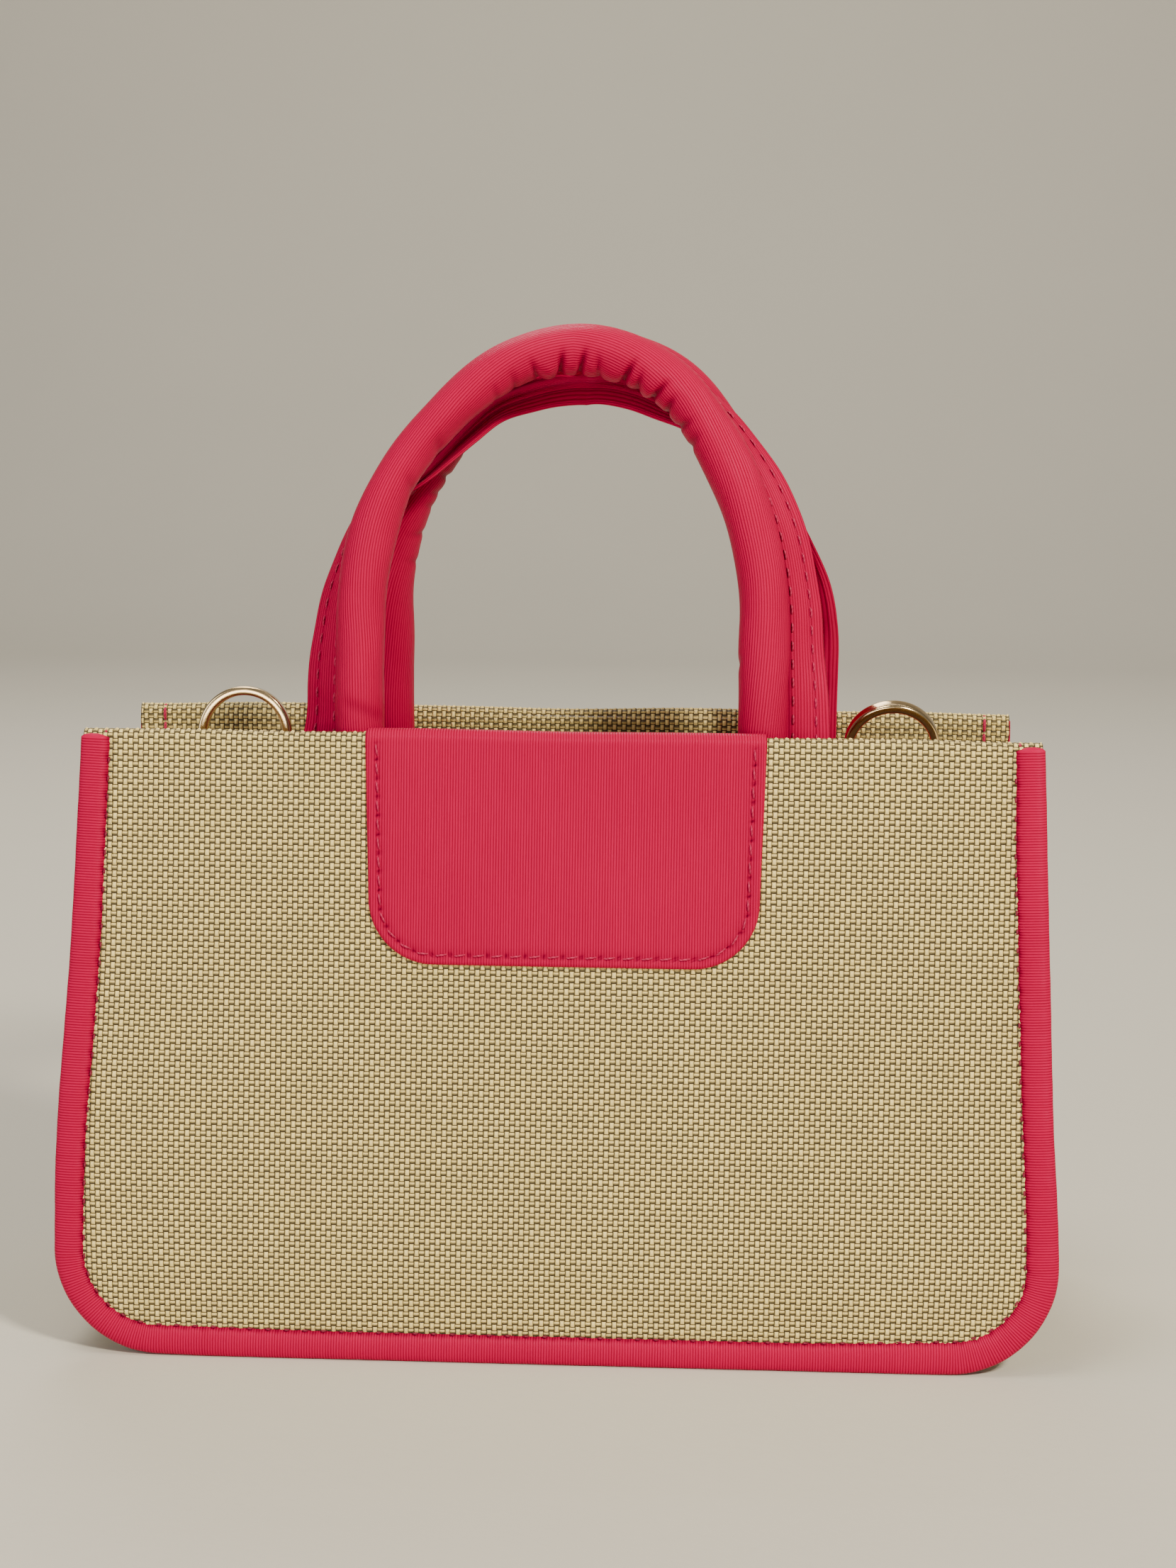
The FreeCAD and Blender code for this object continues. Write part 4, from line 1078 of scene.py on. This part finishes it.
def flange_profile(layer):
    """Loop round the two sewn layers: which edge a point follows, its share, its offset and its painted
    shade, darkest between the layers, at the root and in the stitch groove.
    """
    outside = [
        (0.05, 0.55, 0.6),
        (0.16, 0.85, 0.1),
        (0.42, 1.0, 0.0),
        (0.58, 1.0, 0.0),
        (0.68, 0.72, 0.2),
        (0.78, 1.0, 0.0),
        (0.985, 1.05, 0.0),
    ]
    near = [("near" if share > 0.2 else "root", share, -layer * out, dark) for share, out, dark in outside]
    far = [("far" if share > 0.2 else "root", share, layer * out, dark) for share, out, dark in outside]
    between = [
        ("near", 1.0, -layer * 0.85, 0.25),
        ("near", 0.995, -layer * 0.30, 0.7),
        ("near", 0.87, -0.02 * MM, 1.0),
        ("near", 0.87, 0.02 * MM, 1.0),
        ("between", 0.15, 0.03 * MM, 0.1),
        ("far", 0.90, 0.04 * MM, 0.35),
        ("far", 0.99, 0.08 * MM, 0.1),
        ("far", 1.0, layer * 0.40, 0.2),
        ("far", 1.0, layer * 0.85, 0.2),
    ]
    return near + between + far[::-1]


def turned(radial, aside, angle):
    """Offsets outward and backward of a point on a flange that stands at an angle."""
    c, s = np.cos(angle), np.sin(angle)
    return radial * c - aside * s, radial * s + aside * c


def tab_shape(z):
    """Centre depth and half sizes of a handle's sewn end at a height below the bend."""
    heights = np.array([128.0, 138.0, 147.0, 156.0, 164.4, 171.0]) * MM
    centres = np.array([-31.68, -30.09, -25.75, -23.1, -22.3, -22.3]) * MM
    half_x = np.array([9.5, 9.0, 7.6, 6.5, 6.42, 6.45]) * MM
    half_y = np.array([1.4, 2.0, 4.4, 5.95, 6.4, 6.45]) * MM
    return tuple(smooth_interp(z, heights, row) for row in (centres, half_x, half_y))


def spread(centre, outward, back, out_by, back_by):
    """Points beside a centre line, for every station and every pair of offsets."""
    return (
        centre[:, None, :]
        + outward[:, None, :] * out_by[..., None]
        + back[:, None, :] * back_by[..., None]
    )


class Handle:
    """One padded handle: its shape, its seam flange and where the sewn ends go down inside the panel."""

    def __init__(self, name, lean, turns, wider, dent, width_top, shift, creases, waist):
        self.name = name
        self.lean = math.radians(lean)
        self.turns = turns
        self.wider = wider
        self.dent = dent * MM
        self.width_top = width_top * MM
        self.shift = shift * MM
        self.creases = creases
        self.waist = waist * MM
        self.pivot = JOINTS[name + "_fold"]
        self.pivot_y = -abs(self.pivot.y)
        self.at_back = self.pivot.y > 0

    def stations(self, step):
        """Lengths from the bend line, side signs and lengths from the top, from the left end to the right."""
        low = HANDLE_TAB_BOTTOM - self.pivot.z
        half = np.linspace(low, HALF_LENGTH, int((HALF_LENGTH - low) / step))
        length = np.concatenate([half, half[-2::-1]])
        side = np.where(np.arange(len(length)) < len(half) - 1, -1.0, 1.0)
        return length, side, side * (HALF_LENGTH - length)

    def frame(self, length, side):
        """Centre, outward and backward directions and half sizes; lengths below the bend are negative."""
        above = np.maximum(length, 0)
        x, z, out_x, out_z = leg_line(above)
        below = length < 0
        tab_z = self.pivot.z + length
        tab_y, tab_half_x, tab_half_y = tab_shape(np.minimum(tab_z, self.pivot.z))
        into_bend = np.clip((length - BEND_START) / BEND_RUN, 0, 1)
        past_bend = np.maximum(length - BEND_START - BEND_RUN, 0)
        leaned = BEND_RUN * (into_bend**3 - into_bend**4 / 2) + past_bend
        y = np.where(below, tab_y, self.pivot_y) + (z - above + leaned) * math.sin(self.lean)
        height = np.where(below, tab_z, self.pivot.z + z * math.cos(self.lean))
        lean = self.lean * step_smooth(length, BEND_START, BEND_START + BEND_RUN)
        zero = np.zeros_like(x)
        outward = np.stack([out_x, out_z * np.sin(lean), out_z * np.cos(lean)], axis=-1)
        outward = np.where(below[:, None], np.array([1.0, 0.0, 0.0]), outward)
        back = np.stack([zero, np.cos(lean), -np.sin(lean)], axis=-1)
        seen = -1.0 if self.at_back else 1.0
        to_right = side * seen * (HALF_LENGTH - length)
        centre = np.stack([x, y, height], axis=-1)
        centre = centre - outward * (self.dent * bump_at(to_right, -35 * MM, 21 * MM))[:, None]
        centre[:, 0] += ARCH_SKEW * bump_at(to_right, 0.0, 45 * MM) * side * seen
        half_x = np.where(below, tab_half_x, HANDLE_RADIUS)
        half_y = np.where(below, tab_half_y, HANDLE_RADIUS)
        return centre, outward, back, half_x, half_y

    def place(self, points, side):
        """Mirror the left half, turn the back handle round and shift it."""
        mirror = np.ones((len(side), 1, 3))
        mirror[:, 0, 0] = side
        points = points * mirror
        if self.at_back:
            points = to_back(points)
        return points + np.array([self.shift, 0.0, 0.0])

    def flange_angle(self, length, side):
        """How far the flange has turned round the tube, from outward towards the bag's middle."""
        right, left = (
            smooth_interp(length, [at * MM for at, _ in rows], [math.radians(turn) for _, turn in rows])
            for rows in self.turns
        )
        return np.where(side > 0, right, left)

    def flange_reach(self, length, side):
        """Distance of the flange's outer edge from the handle's centre line."""
        share = step_smooth(length, 0, FLANGE_TURN_LENGTH)
        width = FLANGE_WIDTH_LOW + (self.width_top - FLANGE_WIDTH_LOW) * share
        width = width + np.where(side > 0, *self.wider) * MM * (1 - step_smooth(length, 8 * MM, 34 * MM))
        ending = step_smooth(self.pivot.z + length, FLANGE_END_Z, FLANGE_END_Z + 5 * MM)
        ending = np.where(length < 0, ending, 1.0)
        return HANDLE_RADIUS + width * ending - (1 - ending) * 1.0 * MM

    def layer_edges(self, length):
        """Shares of the flange's width where its near and far layers end: at the back they are stepped."""
        if not self.at_back:
            return np.ones(len(length)), np.ones(len(length))
        near = 1 - 0.42 * step_smooth(length, 40 * MM, 75 * MM)
        far = 0.62 + 0.38 * step_smooth(length, 26 * MM, 48 * MM)
        return near, far

    def droop(self, along):
        """Slow waviness of the flange across its width."""
        return waves(along, 31 if self.at_back else 32, (17 * MM, 29 * MM, 53 * MM), 0.3 * MM)

    def crease_depth(self, along, angle):
        """Gathers on the inner side of the bend; along is measured from the arch's top."""
        inner = angle % (2 * math.pi) - math.pi
        total = np.zeros(inner.shape)
        for place, tilt, depth, width, centre, reach in self.creases:
            off = along - place * MM - tilt * MM * (inner - centre)
            total = total + depth * MM * bump_at(off, 0, width * MM) * bump_at(inner, centre, reach, 4)
        return total

    def waist_depth(self, along, angle):
        """Thinner stretch where the padding has moved away from the inner side of the bend."""
        inner = angle % (2 * math.pi) - math.pi
        return self.waist * bump_at(along, -45 * MM, 26 * MM) * bump_at(inner, 0, 1.3, 4)

    def tube(self, length, along, phi, half_x, half_y):
        """Offsets round the stuffed tube, with its lumps, gathers and waist, and the gathers' depth."""
        crease = self.crease_depth(along, phi)
        lumps = 0.13 * MM * np.sin(along / (7.3 * MM) + 1.3 * np.sin(phi))
        lumps = lumps + 0.10 * MM * np.sin(along / (4.1 * MM) + 2.1 * phi + 0.7)
        lumps = lumps * step_smooth(length, -10 * MM, 12 * MM)
        shrink = lumps - crease - self.waist_depth(along, phi)
        return (half_x + shrink) * np.cos(phi), (half_y + shrink) * np.sin(phi), crease

    def flange(self, length, side, along, root):
        """Offsets and painted shade round the two sewn layers, at every station."""
        psi = self.flange_angle(length, side)
        reach = self.flange_reach(length, side)
        near_edge, far_edge = self.layer_edges(length)
        covered_near = 1 - np.clip((near_edge - far_edge) / 0.3, 0, 1)
        covered_far = 1 - np.clip((far_edge - near_edge) / 0.3, 0, 1)
        under = 0.87 * near_edge
        edges = {
            "root": (0.0, 1.0, 1.0),
            "near": (0.0, near_edge, covered_near),
            "between": (under, 0.90 * far_edge - under, 1.0),
            "far": (0.0, far_edge, covered_far),
        }
        rows_out, rows_back, rows_shade = [], [], []
        for edge, share, q, dark in flange_profile(FLANGE_THICKNESS / 2 - 0.1 * MM):
            start, stretch, covered = edges[edge]
            shares = start + share * stretch
            out_by, back_by = turned(root + (reach - root) * shares, q + self.droop(along) * shares**2, psi)
            rows_out.append(out_by)
            rows_back.append(back_by)
            rows_shade.append(np.full(len(length), dark) * covered)
        return tuple(np.stack(rows, axis=-1) for rows in (rows_out, rows_back, rows_shade))

    def cover(self, material):
        """One mesh for the tube, its sewn ends and the two-layer flange."""
        length, side, along = self.stations(0.6 * MM)
        centre, outward, back, half_x, half_y = self.frame(length, side)
        start = math.asin(FLANGE_THICKNESS / 2 * 0.75 / HANDLE_RADIUS)
        theta = np.linspace(start, 2 * math.pi - start, 58)
        phi = self.flange_angle(length, side)[:, None] + theta
        tube_out, tube_back, crease = self.tube(
            length[:, None], along[:, None], phi, half_x[:, None], half_y[:, None]
        )
        flange_out, flange_back, flange_shade = self.flange(length, side, along, half_x * math.cos(start))
        loop_out = np.concatenate([tube_out, flange_out], axis=1)
        loop_back = np.concatenate([tube_back, flange_back], axis=1)
        points = self.place(spread(centre, outward, back, loop_out, loop_back), side)
        rows, columns = loop_out.shape
        step_around = np.linalg.norm(np.roll(points, -1, axis=1) - points, axis=-1)
        around = np.concatenate([np.zeros((rows, 1)), np.cumsum(step_around, axis=1)[:, :-1]], axis=1)
        cloth = point_list(np.median(around, axis=0), along[:, None], 0.0)
        # Painted shade in the tube's gathers, deeper gathers darker; the flange brings its own painted shade.
        tube_shade = np.clip(crease / (0.9 * MM), 0, 1) * 0.55
        painted_shade = np.concatenate([tube_shade, flange_shade], axis=1).reshape(-1)
        faces = closed_tube(rows, columns, self.at_back)
        return new_object(self.name + "_padded_cover", points.reshape(-1, 3), faces, material, cloth, painted_shade)

    def core(self, material):
        """Foam rope inside the cover."""
        length, side, along = self.stations(3 * MM)
        keep = length > -14 * MM
        length, side, along = length[keep], side[keep], along[keep]
        centre, outward, back, half_x, half_y = self.frame(length, side)
        angle = full_turn(16)
        thinner = FOAM_INSET + self.waist_depth(along, math.pi)
        out_by = (half_x - thinner)[:, None] * np.cos(angle)
        back_by = (half_y - thinner)[:, None] * np.sin(angle)
        points = self.place(spread(centre, outward, back, out_by, back_by), side)
        faces = closed_tube(len(length), len(angle), self.at_back)
        return new_object(self.name + "_foam", points.reshape(-1, 3), faces, material)

    def flange_stitches(self, share, near, leg):
        """One row of stitches on one leg's flange, on its near or far face, at a share of its width."""
        length, side, along = self.stations(0.8 * MM)
        keep = (length > -30 * MM) & (side == leg)
        if self.at_back:
            keep = keep & (length < STITCHED_LENGTH)
        length, side, along = length[keep], side[keep], along[keep]
        centre, outward, back, half_x, _ = self.frame(length, side)
        psi = self.flange_angle(length, side)
        root = half_x * math.cos(FLANGE_ROOT_ANGLE)
        near_edge, far_edge = self.layer_edges(length)
        if share > 0.5:
            share = share * (near_edge if near else far_edge)
        radial = root + (self.flange_reach(length, side) - root) * share
        face = -1.0 if near else 1.0
        q = face * (FLANGE_THICKNESS / 2 - 0.28 * MM) + self.droop(along) * share**2

        def placed(out_by, back_by):
            return self.place(spread(centre, outward, back, out_by[:, None], back_by[:, None]), side)[:, 0]

        line = placed(*turned(radial, q, psi))
        normals = placed(*turned(0.0, face, psi)) - placed(*turned(0.0, 0.0, psi))
        return stitches_along(line, normals, share=0.66)

    def build(self, materials):
        cover = self.cover(materials["pink"])
        names = [self.name + "_cover", self.name + "_tab_left", self.name + "_tab_right"]
        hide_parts(*names)
        core = self.core(materials["foam"])
        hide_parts(self.name + "_core")
        rows = [
            self.flange_stitches(share, near, leg)
            for share in (0.14, 0.68)
            for near in (True, False)
            for leg in (-1.0, 1.0)
        ]
        thread = stitch_mesh(self.name + "_stitches", rows, materials["thread"], 0.27 * MM)
        for obj in (cover, core, thread):
            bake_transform(obj)


def make_handles(materials):
    """Front and back handle; distances in their tables are in millimetres and turns in degrees."""
    front_creases = [
        # place along, tilt, depth (lobes are negative), width, middle of the window, reach
        (-25.0, 1.2, 0.30, 1.1, 0.25, 0.8),
        (-18.5, 0.8, 0.40, 1.0, 0.2, 0.9),
        (-11.2, -0.5, 0.75, 0.8, 0.25, 0.95),
        (-7.6, 0.2, -0.95, 2.2, 0.05, 0.85),
        (-4.0, 0.9, 1.35, 0.8, 0.25, 1.0),
        (-1.0, 0.2, -0.40, 1.8, 0.05, 0.8),
        (2.0, 1.0, 1.30, 0.8, 0.3, 1.0),
        (4.8, 0.2, -0.45, 1.8, 0.05, 0.8),
        (7.6, -0.7, 0.65, 0.8, 0.3, 0.85),
        (11.5, 0.2, -0.65, 2.8, 0.05, 0.8),
        (15.8, 0.9, 1.40, 0.85, 0.3, 1.0),
        (18.3, 0.2, -0.35, 1.3, 0.05, 0.8),
        (20.8, -0.8, 0.80, 0.8, 0.2, 0.9),
        (23.6, 0.2, -0.50, 1.6, 0.05, 0.8),
        (26.6, 0.8, 1.25, 0.8, 0.3, 1.0),
        (32.6, -0.9, 0.95, 0.9, 0.15, 0.9),
        (38.6, 1.2, 0.80, 1.0, 0.1, 0.9),
        (45.0, -1.0, 0.60, 1.2, 0.05, 0.85),
        (-47.0, 2.2, 0.35, 1.8, 0.3, 0.8),
        (-60.0, 2.6, 0.30, 1.8, 0.4, 0.8),
        (-121.0, 2.0, 0.35, 1.8, 1.2, 0.9),
        (109.0, -2.5, 0.4, 1.5, -0.4, 0.8),
    ]
    back_creases = [
        (place, tilt, depth, 1.1, 0.1, 1.0)
        for place, tilt, depth in (
            (-74, 0.9, 0.3), (-64, -0.8, 0.6), (-55, 1.2, 0.4), (-47, -0.6, 0.8), (-38, 0.8, 0.5),
            (-26, -1.0, 0.7), (-17, 0.6, 0.5), (-9, -0.8, 0.8), (1, 0.7, 0.6), (9, -0.5, 0.8),
            (20, 0.9, 0.5), (27, -0.9, 0.7), (36, 0.7, 0.25), (47, -0.5, 0.3), (56, 1.0, 0.75),
            (61, -0.7, 0.4), (66, 0.5, 0.3), (74, -0.8, 0.45), (83, 0.6, 0.35),
        )
    ]
    top = HALF_LENGTH / MM
    front_turns = (
        ((-25, 0), (-8, 11), (10, 25), (28, 32), (46, 35), (60, 44), (75, 56), (100, 84), (top, 104)),
        ((-25, 0), (-10, 30), (3, 34), (14, 38), (25, 46), (36, 55), (55, 66), (90, 86), (top, 104)),
    )
    back_turns = (
        (
            (-25, 0), (0, 4), (20, 24), (40, 56), (52, 80), (60, 96),
            (68, 106), (77, 111), (88, 117), (100, 131), (top, 140),
        ),
        ((-25, 0), (0, 1), (12, 5), (25, 20), (36, 39), (50, 60), (72, 97), (92, 126), (top, 140)),
    )
    front = Handle(
        "front_handle", lean=7.7, turns=front_turns, wider=(0.0, 0.0), dent=2.6, width_top=8.5,
        shift=-0.4, creases=front_creases, waist=1.9,
    )
    back = Handle(
        "back_handle", lean=6.8, turns=back_turns, wider=(0.0, 1.6), dent=1.4, width_top=10.3,
        shift=2.3, creases=back_creases, waist=0.0,
    )
    front.build(materials)
    back.build(materials)


# ---------------------------------------------------------------- D-rings and their tabs
def ring_path():
    """Centre line of the D's band in its own plane and its outward directions, leg end to leg end."""
    radius = RING_OUTER - RING_WALL / 2
    leg = np.linspace(0, RING_LEG, 8)[:-1]
    angle = np.linspace(0, math.pi, 64)
    round_part = np.stack([np.cos(angle), np.sin(angle)], axis=-1)
    up = np.array([0.0, 1.0])
    left_out = np.tile([1.0, 0.0], (len(leg), 1))
    left = left_out * radius + leg[:, None] * up
    right = -left_out * radius + leg[::-1, None] * up
    path = np.concatenate([left, round_part * radius + RING_LEG * up, right])
    return path, np.concatenate([left_out, round_part, -left_out])


def ring(name, bar_middle, lean, material):
    """D-ring with its bar, turned round the bar to where it rests."""
    path, outward = ring_path()
    wall, deep = rounded_box(28, RING_WALL, RING_DEPTH, 2 / 4.2, 2 / 4.2)
    points = point_list(path[:, 0:1] + outward[:, 0:1] * wall, deep, path[:, 1:2] + outward[:, 1:2] * wall)
    points, faces, _, _ = capped_tube(points, len(wall), bulge=1.0, flip=True)
    reach = RING_OUTER - RING_WALL / 2
    bar_x = np.linspace(-reach, reach, 30)[:, None]
    bar_radius = RING_BAR_RADIUS * (1 + 0.45 * (np.abs(bar_x) / reach) ** 10)
    angle = full_turn(24)
    bar = point_list(bar_x, bar_radius * np.cos(angle), bar_radius * np.sin(angle))
    faces += [quad + len(points) for quad in grid_faces(len(bar_x), len(angle), closed=True, flip=True)]
    turn = Matrix.Rotation(math.radians(lean), 3, "X")
    placed = np.concatenate([points, bar]) @ np.array(turn).T + np.array(bar_middle)
    return new_object(name, placed, faces, material)


def tab_path(bar_z):
    """Line of the tab's strip from its lower front end over the ring's bar to the back, as (y, z)."""
    middle = RING_BAR_RADIUS + 0.08 * MM + LEATHERETTE / 2
    flat_y = RING_TAB_INNER_Y + LEATHERETTE / 2
    slant = math.radians(12)
    arc = np.linspace(slant, math.pi - slant, 26)
    loop = np.stack([middle * np.cos(arc), bar_z + middle * np.sin(arc)], axis=-1)
    low = np.linspace(RING_TAB_LOW_Z, RING_TAB_WAIST_Z, 24)
    neck_z = np.linspace(RING_TAB_WAIST_Z, loop[0, 1], 8)[1:-1]
    neck = flat_y + (loop[0, 0] - flat_y) * step_smooth(neck_z, RING_TAB_WAIST_Z - 1 * MM, loop[0, 1])
    right = np.concatenate([np.column_stack([np.full(24, flat_y), low]), np.column_stack([neck, neck_z])])
    return np.concatenate([right, loop, right[::-1] * np.array([-1.0, 1.0])])


def ring_tab(name, bar, material):
    """Leatherette strip looped round the ring's bar and sewn to both sides of the pinched gusset."""
    path = tab_path(bar.z)
    tangent = unit(np.gradient(path, axis=0))
    wide, thick = rounded_box(40, 2 * RING_TAB_HALF, LEATHERETTE, 0.35, 0.5)
    y = path[:, 0:1] + tangent[:, 1:2] * thick
    z = path[:, 1:2] - tangent[:, 0:1] * thick
    points = point_list(bar.x + wide, y, z)
    cloth = point_list(bar.x + wide, running_length(path)[:, None], 0.0)
    points, faces, cloth, painted_shade = capped_tube(points, len(wide), cloth, bulge=0.05)
    return new_object(name, points, faces, material, cloth, painted_shade)


def tab_stitches(name, bar, thread):
    """Two rows of stitches across the tab, on both of its faces."""
    rows = []
    reach = RING_TAB_HALF - 1.5 * MM
    for face in (-1.0, 1.0):
        for z in (RING_TAB_LOW_Z + 2.5 * MM, RING_TAB_WAIST_Z - 2.5 * MM):
            x = np.linspace(bar.x - reach, bar.x + reach, 40)
            line = point_list(x, face * (RING_TAB_INNER_Y + LEATHERETTE - 0.05 * MM), z)
            normals = np.tile([0.0, face, 0.0], (len(x), 1))
            rows.append(stitches_along(line, normals, pitch=RING_TAB_STITCH_PITCH))
    return stitch_mesh(name, rows, thread, 0.27 * MM)


# ---------------------------------------------------------------- pieces put together
def facing_stitches(name, place, line_inset, thread):
    """Stitch line that holds the facing's ends, on each side, over the rim and down the inside."""
    rows = []
    for side in (-1, 1):
        run = np.arange(SHOULDER + 0.5 * MM, FOLD_END + 11 * MM, 0.5 * MM)
        depth, up, normal_depth, normal_up = fold_profile(run, RIM_RADIUS + 0.12 * MM)
        x = np.full(len(run), side * (side_half(PIPING_TOP_UP, EAR_INSET) - line_inset))
        lift = rim_wave(x)
        line = place(point_list(x, depth, up + lift))
        tip = place(point_list(x, depth + normal_depth, up + lift + normal_up))
        rows.append(stitches_along(line, tip - line, pitch=4.2 * MM, share=0.9, offset=0.6 * MM))
    return stitch_mesh(name, rows, thread, 0.42 * MM, 0.2 * MM)


def make_panels(materials):
    for side, place, inset in (
        ("front", stand_front, FRONT_LINE_INSET),
        ("back", stand_back, BACK_LINE_INSET),
    ):
        dress(canvas_face(side + "_canvas", place, materials["canvas"]), "woven_canvas", side + "_panel")
        edge = piping(side + "_edge_piping", place, materials["pink"])
        dress(edge, "ribbed_leatherette", side + "_piping")
        filler = piping_core(side + "_edge_filler", place, materials["foam"])
        dress(filler, "piping_filler", side + "_piping_filler")
        dress(seam_stitches(side + "_seam_thread", place, materials["seam"]), "ribbed_leatherette")
        lining = panel_lining(side + "_inside_lining", place, materials["lining"])
        dress(lining, "plain_lining", side + "_lining")
        stitched = facing_stitches(side + "_facing_stitches", place, inset, materials["thread"])
        dress(stitched, "woven_canvas")


def make_patch(materials):
    dress(patch(materials["pink"]), "ribbed_leatherette", "front_patch")
    dress(patch_stitches(materials["thread"]), "ribbed_leatherette")


def make_sides(materials):
    for side_name, side in (("right", 1), ("left", -1)):
        outer = gusset(side_name + "_woven_gusset", side, 0.0, materials["canvas"], True)
        inner = gusset(side_name + "_gusset_inside", side, CANVAS + 0.3 * MM, materials["lining"], False)
        dress(outer, "woven_canvas", side_name + "_gusset")
        dress(inner, "plain_lining", side_name + "_gusset_lining")


def make_base(materials):
    low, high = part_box("base_panel")
    half = (high.x - BASE_TUCK, high.y - BASE_TUCK)
    yarns = np.array([WEAVE_PITCH_X, WEAVE_PITCH_Z, 1.0])
    base = flat_sheet("woven_base", half, low.z, 1.5 * MM, materials["canvas"], yarns)
    dress(base, "woven_canvas", "base_panel")
    low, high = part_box("base_lining")
    inside = flat_sheet(
        "base_inside_lining", (high.x, high.y), high.z, 3 * MM, materials["lining"], np.ones(3), 0.2 * MM
    )
    dress(inside, "plain_lining", "base_lining")


def make_rings(materials):
    for side, lean in (("left", -4.0), ("right", 22.0)):
        piece = ring(side + "_gold_ring", JOINTS[side + "_ring_swing"], lean, materials["gold"])
        dress(piece, "pale_gold_metal", side + "_ring", body=side + "_d_ring")


def make_ring_tabs(materials):
    for side in ("left", "right"):
        bar = JOINTS[side + "_ring_swing"]
        tab = ring_tab(side + "_sewn_ring_tab", bar, materials["pink"])
        dress(tab, "ribbed_leatherette", side + "_ring_tab")
        stitched = tab_stitches(side + "_sewn_ring_tab_stitches", bar, materials["thread"])
        dress(stitched, "ribbed_leatherette")


def dress_hidden(materials):
    """Boards that stay inside keep their CAD shape and get their own finish."""
    for node, obj in frame["nodes"].items():
        if node.endswith("stiffener") or node == "base_board":
            obj.data.materials.clear()
            obj.data.materials.append(materials["board"])


# ---------------------------------------------------------------- floor, light and camera
def make_floor(material):
    """Pale floor that curves up into a backdrop far behind the object."""
    wide, near, far, bend, high = 5.0, -5.0, 2.0, 0.9, 4.0
    angle = np.linspace(0, math.pi / 2, 24)
    y = np.concatenate([[near, 0.0], far + bend * np.sin(angle), [far + bend]])[:, None]
    z = np.concatenate([[0.0, 0.0], bend - bend * np.cos(angle), [high]])[:, None]
    points = point_list(np.array([-wide, wide]), y, z)
    floor = new_object("floor", points, grid_faces(len(y), 2, flip=True), material)


def area_light(name, place, target, size, power, colour):
    light = bpy.data.lights.new(name, "AREA")
    light.shape = "RECTANGLE"
    light.size, light.size_y = size
    light.energy = power
    light.color = colour
    obj = bpy.data.objects.new(name, light)
    bpy.context.scene.collection.objects.link(obj)
    obj.location = place
    direction = Vector(target) - Vector(place)
    obj.rotation_euler = direction.to_track_quat("-Z", "Y").to_euler()


def make_light():
    """Soft daylight all round, a warm key from the right and a light for the backdrop."""
    world = bpy.data.worlds.new("studio")
    bpy.context.scene.world = world
    world.use_nodes = True
    back = world.node_tree.nodes["Background"]
    back.inputs["Color"].default_value = (0.80, 0.82, 0.86, 1.0)
    back.inputs["Strength"].default_value = 0.28
    middle = (0.0, 0.0, 0.1)
    area_light("key", (0.80, -0.95, 1.15), middle, (0.22, 0.22), 35.0, (1.0, 0.94, 0.82))
    area_light("fill", (-1.2, -1.0, 0.6), middle, (0.9, 0.9), 9.0, (0.92, 0.96, 1.0))
    area_light("low", (-0.25, -1.5, 0.12), middle, (0.6, 0.4), 9.0, (1.0, 0.96, 0.90))
    area_light("rim", (-0.3, 1.0, 1.2), middle, (0.7, 0.5), 8.0, (1.0, 0.97, 0.93))
    area_light("backdrop", (0.0, 1.0, 2.0), (0.0, 2.8, 0.7), (2.5, 0.6), 34.0, (1.0, 0.97, 0.93))
    area_light("top", (-0.25, -0.15, 1.3), (0.03, 0.0, 0.26), (0.4, 0.4), 7.0, (1.0, 0.95, 0.86))


def make_camera():
    """Nearly level view of the front from a little above."""
    place = Vector((32.5, -631.6, 234.2)) * MM
    yaw, pitch, roll = (math.radians(a) for a in (2.40, 8.03, 0.58))
    forward = Vector((-math.sin(yaw) * math.cos(pitch), math.cos(yaw) * math.cos(pitch), -math.sin(pitch)))
    level = Vector((math.cos(yaw), math.sin(yaw), 0.0))
    upright = level.cross(forward)
    right = level * math.cos(roll) + upright * math.sin(roll)
    up = upright * math.cos(roll) - level * math.sin(roll)
    data = bpy.data.cameras.new("camera")
    data.sensor_width = 36.0
    data.sensor_fit = "AUTO"
    data.lens = 54.06
    data.clip_start = 0.01
    camera = bpy.data.objects.new("camera", data)
    bpy.context.scene.collection.objects.link(camera)
    turn = Matrix((right, up, -forward)).transposed()
    camera.matrix_world = Matrix.Translation(place) @ turn.to_4x4()
    bpy.context.scene.camera = camera


# ---------------------------------------------------------------- the scene
def build():
    materials = make_materials()
    make_panels(materials)
    make_patch(materials)
    make_sides(materials)
    make_base(materials)
    make_handles(materials)
    make_rings(materials)
    make_ring_tabs(materials)
    dress_hidden(materials)
    make_floor(materials["floor"])
    make_light()
    make_camera()


def write_size():
    """Bring the scene's matrices up to date."""
    bpy.context.view_layer.update()


build()
write_size()
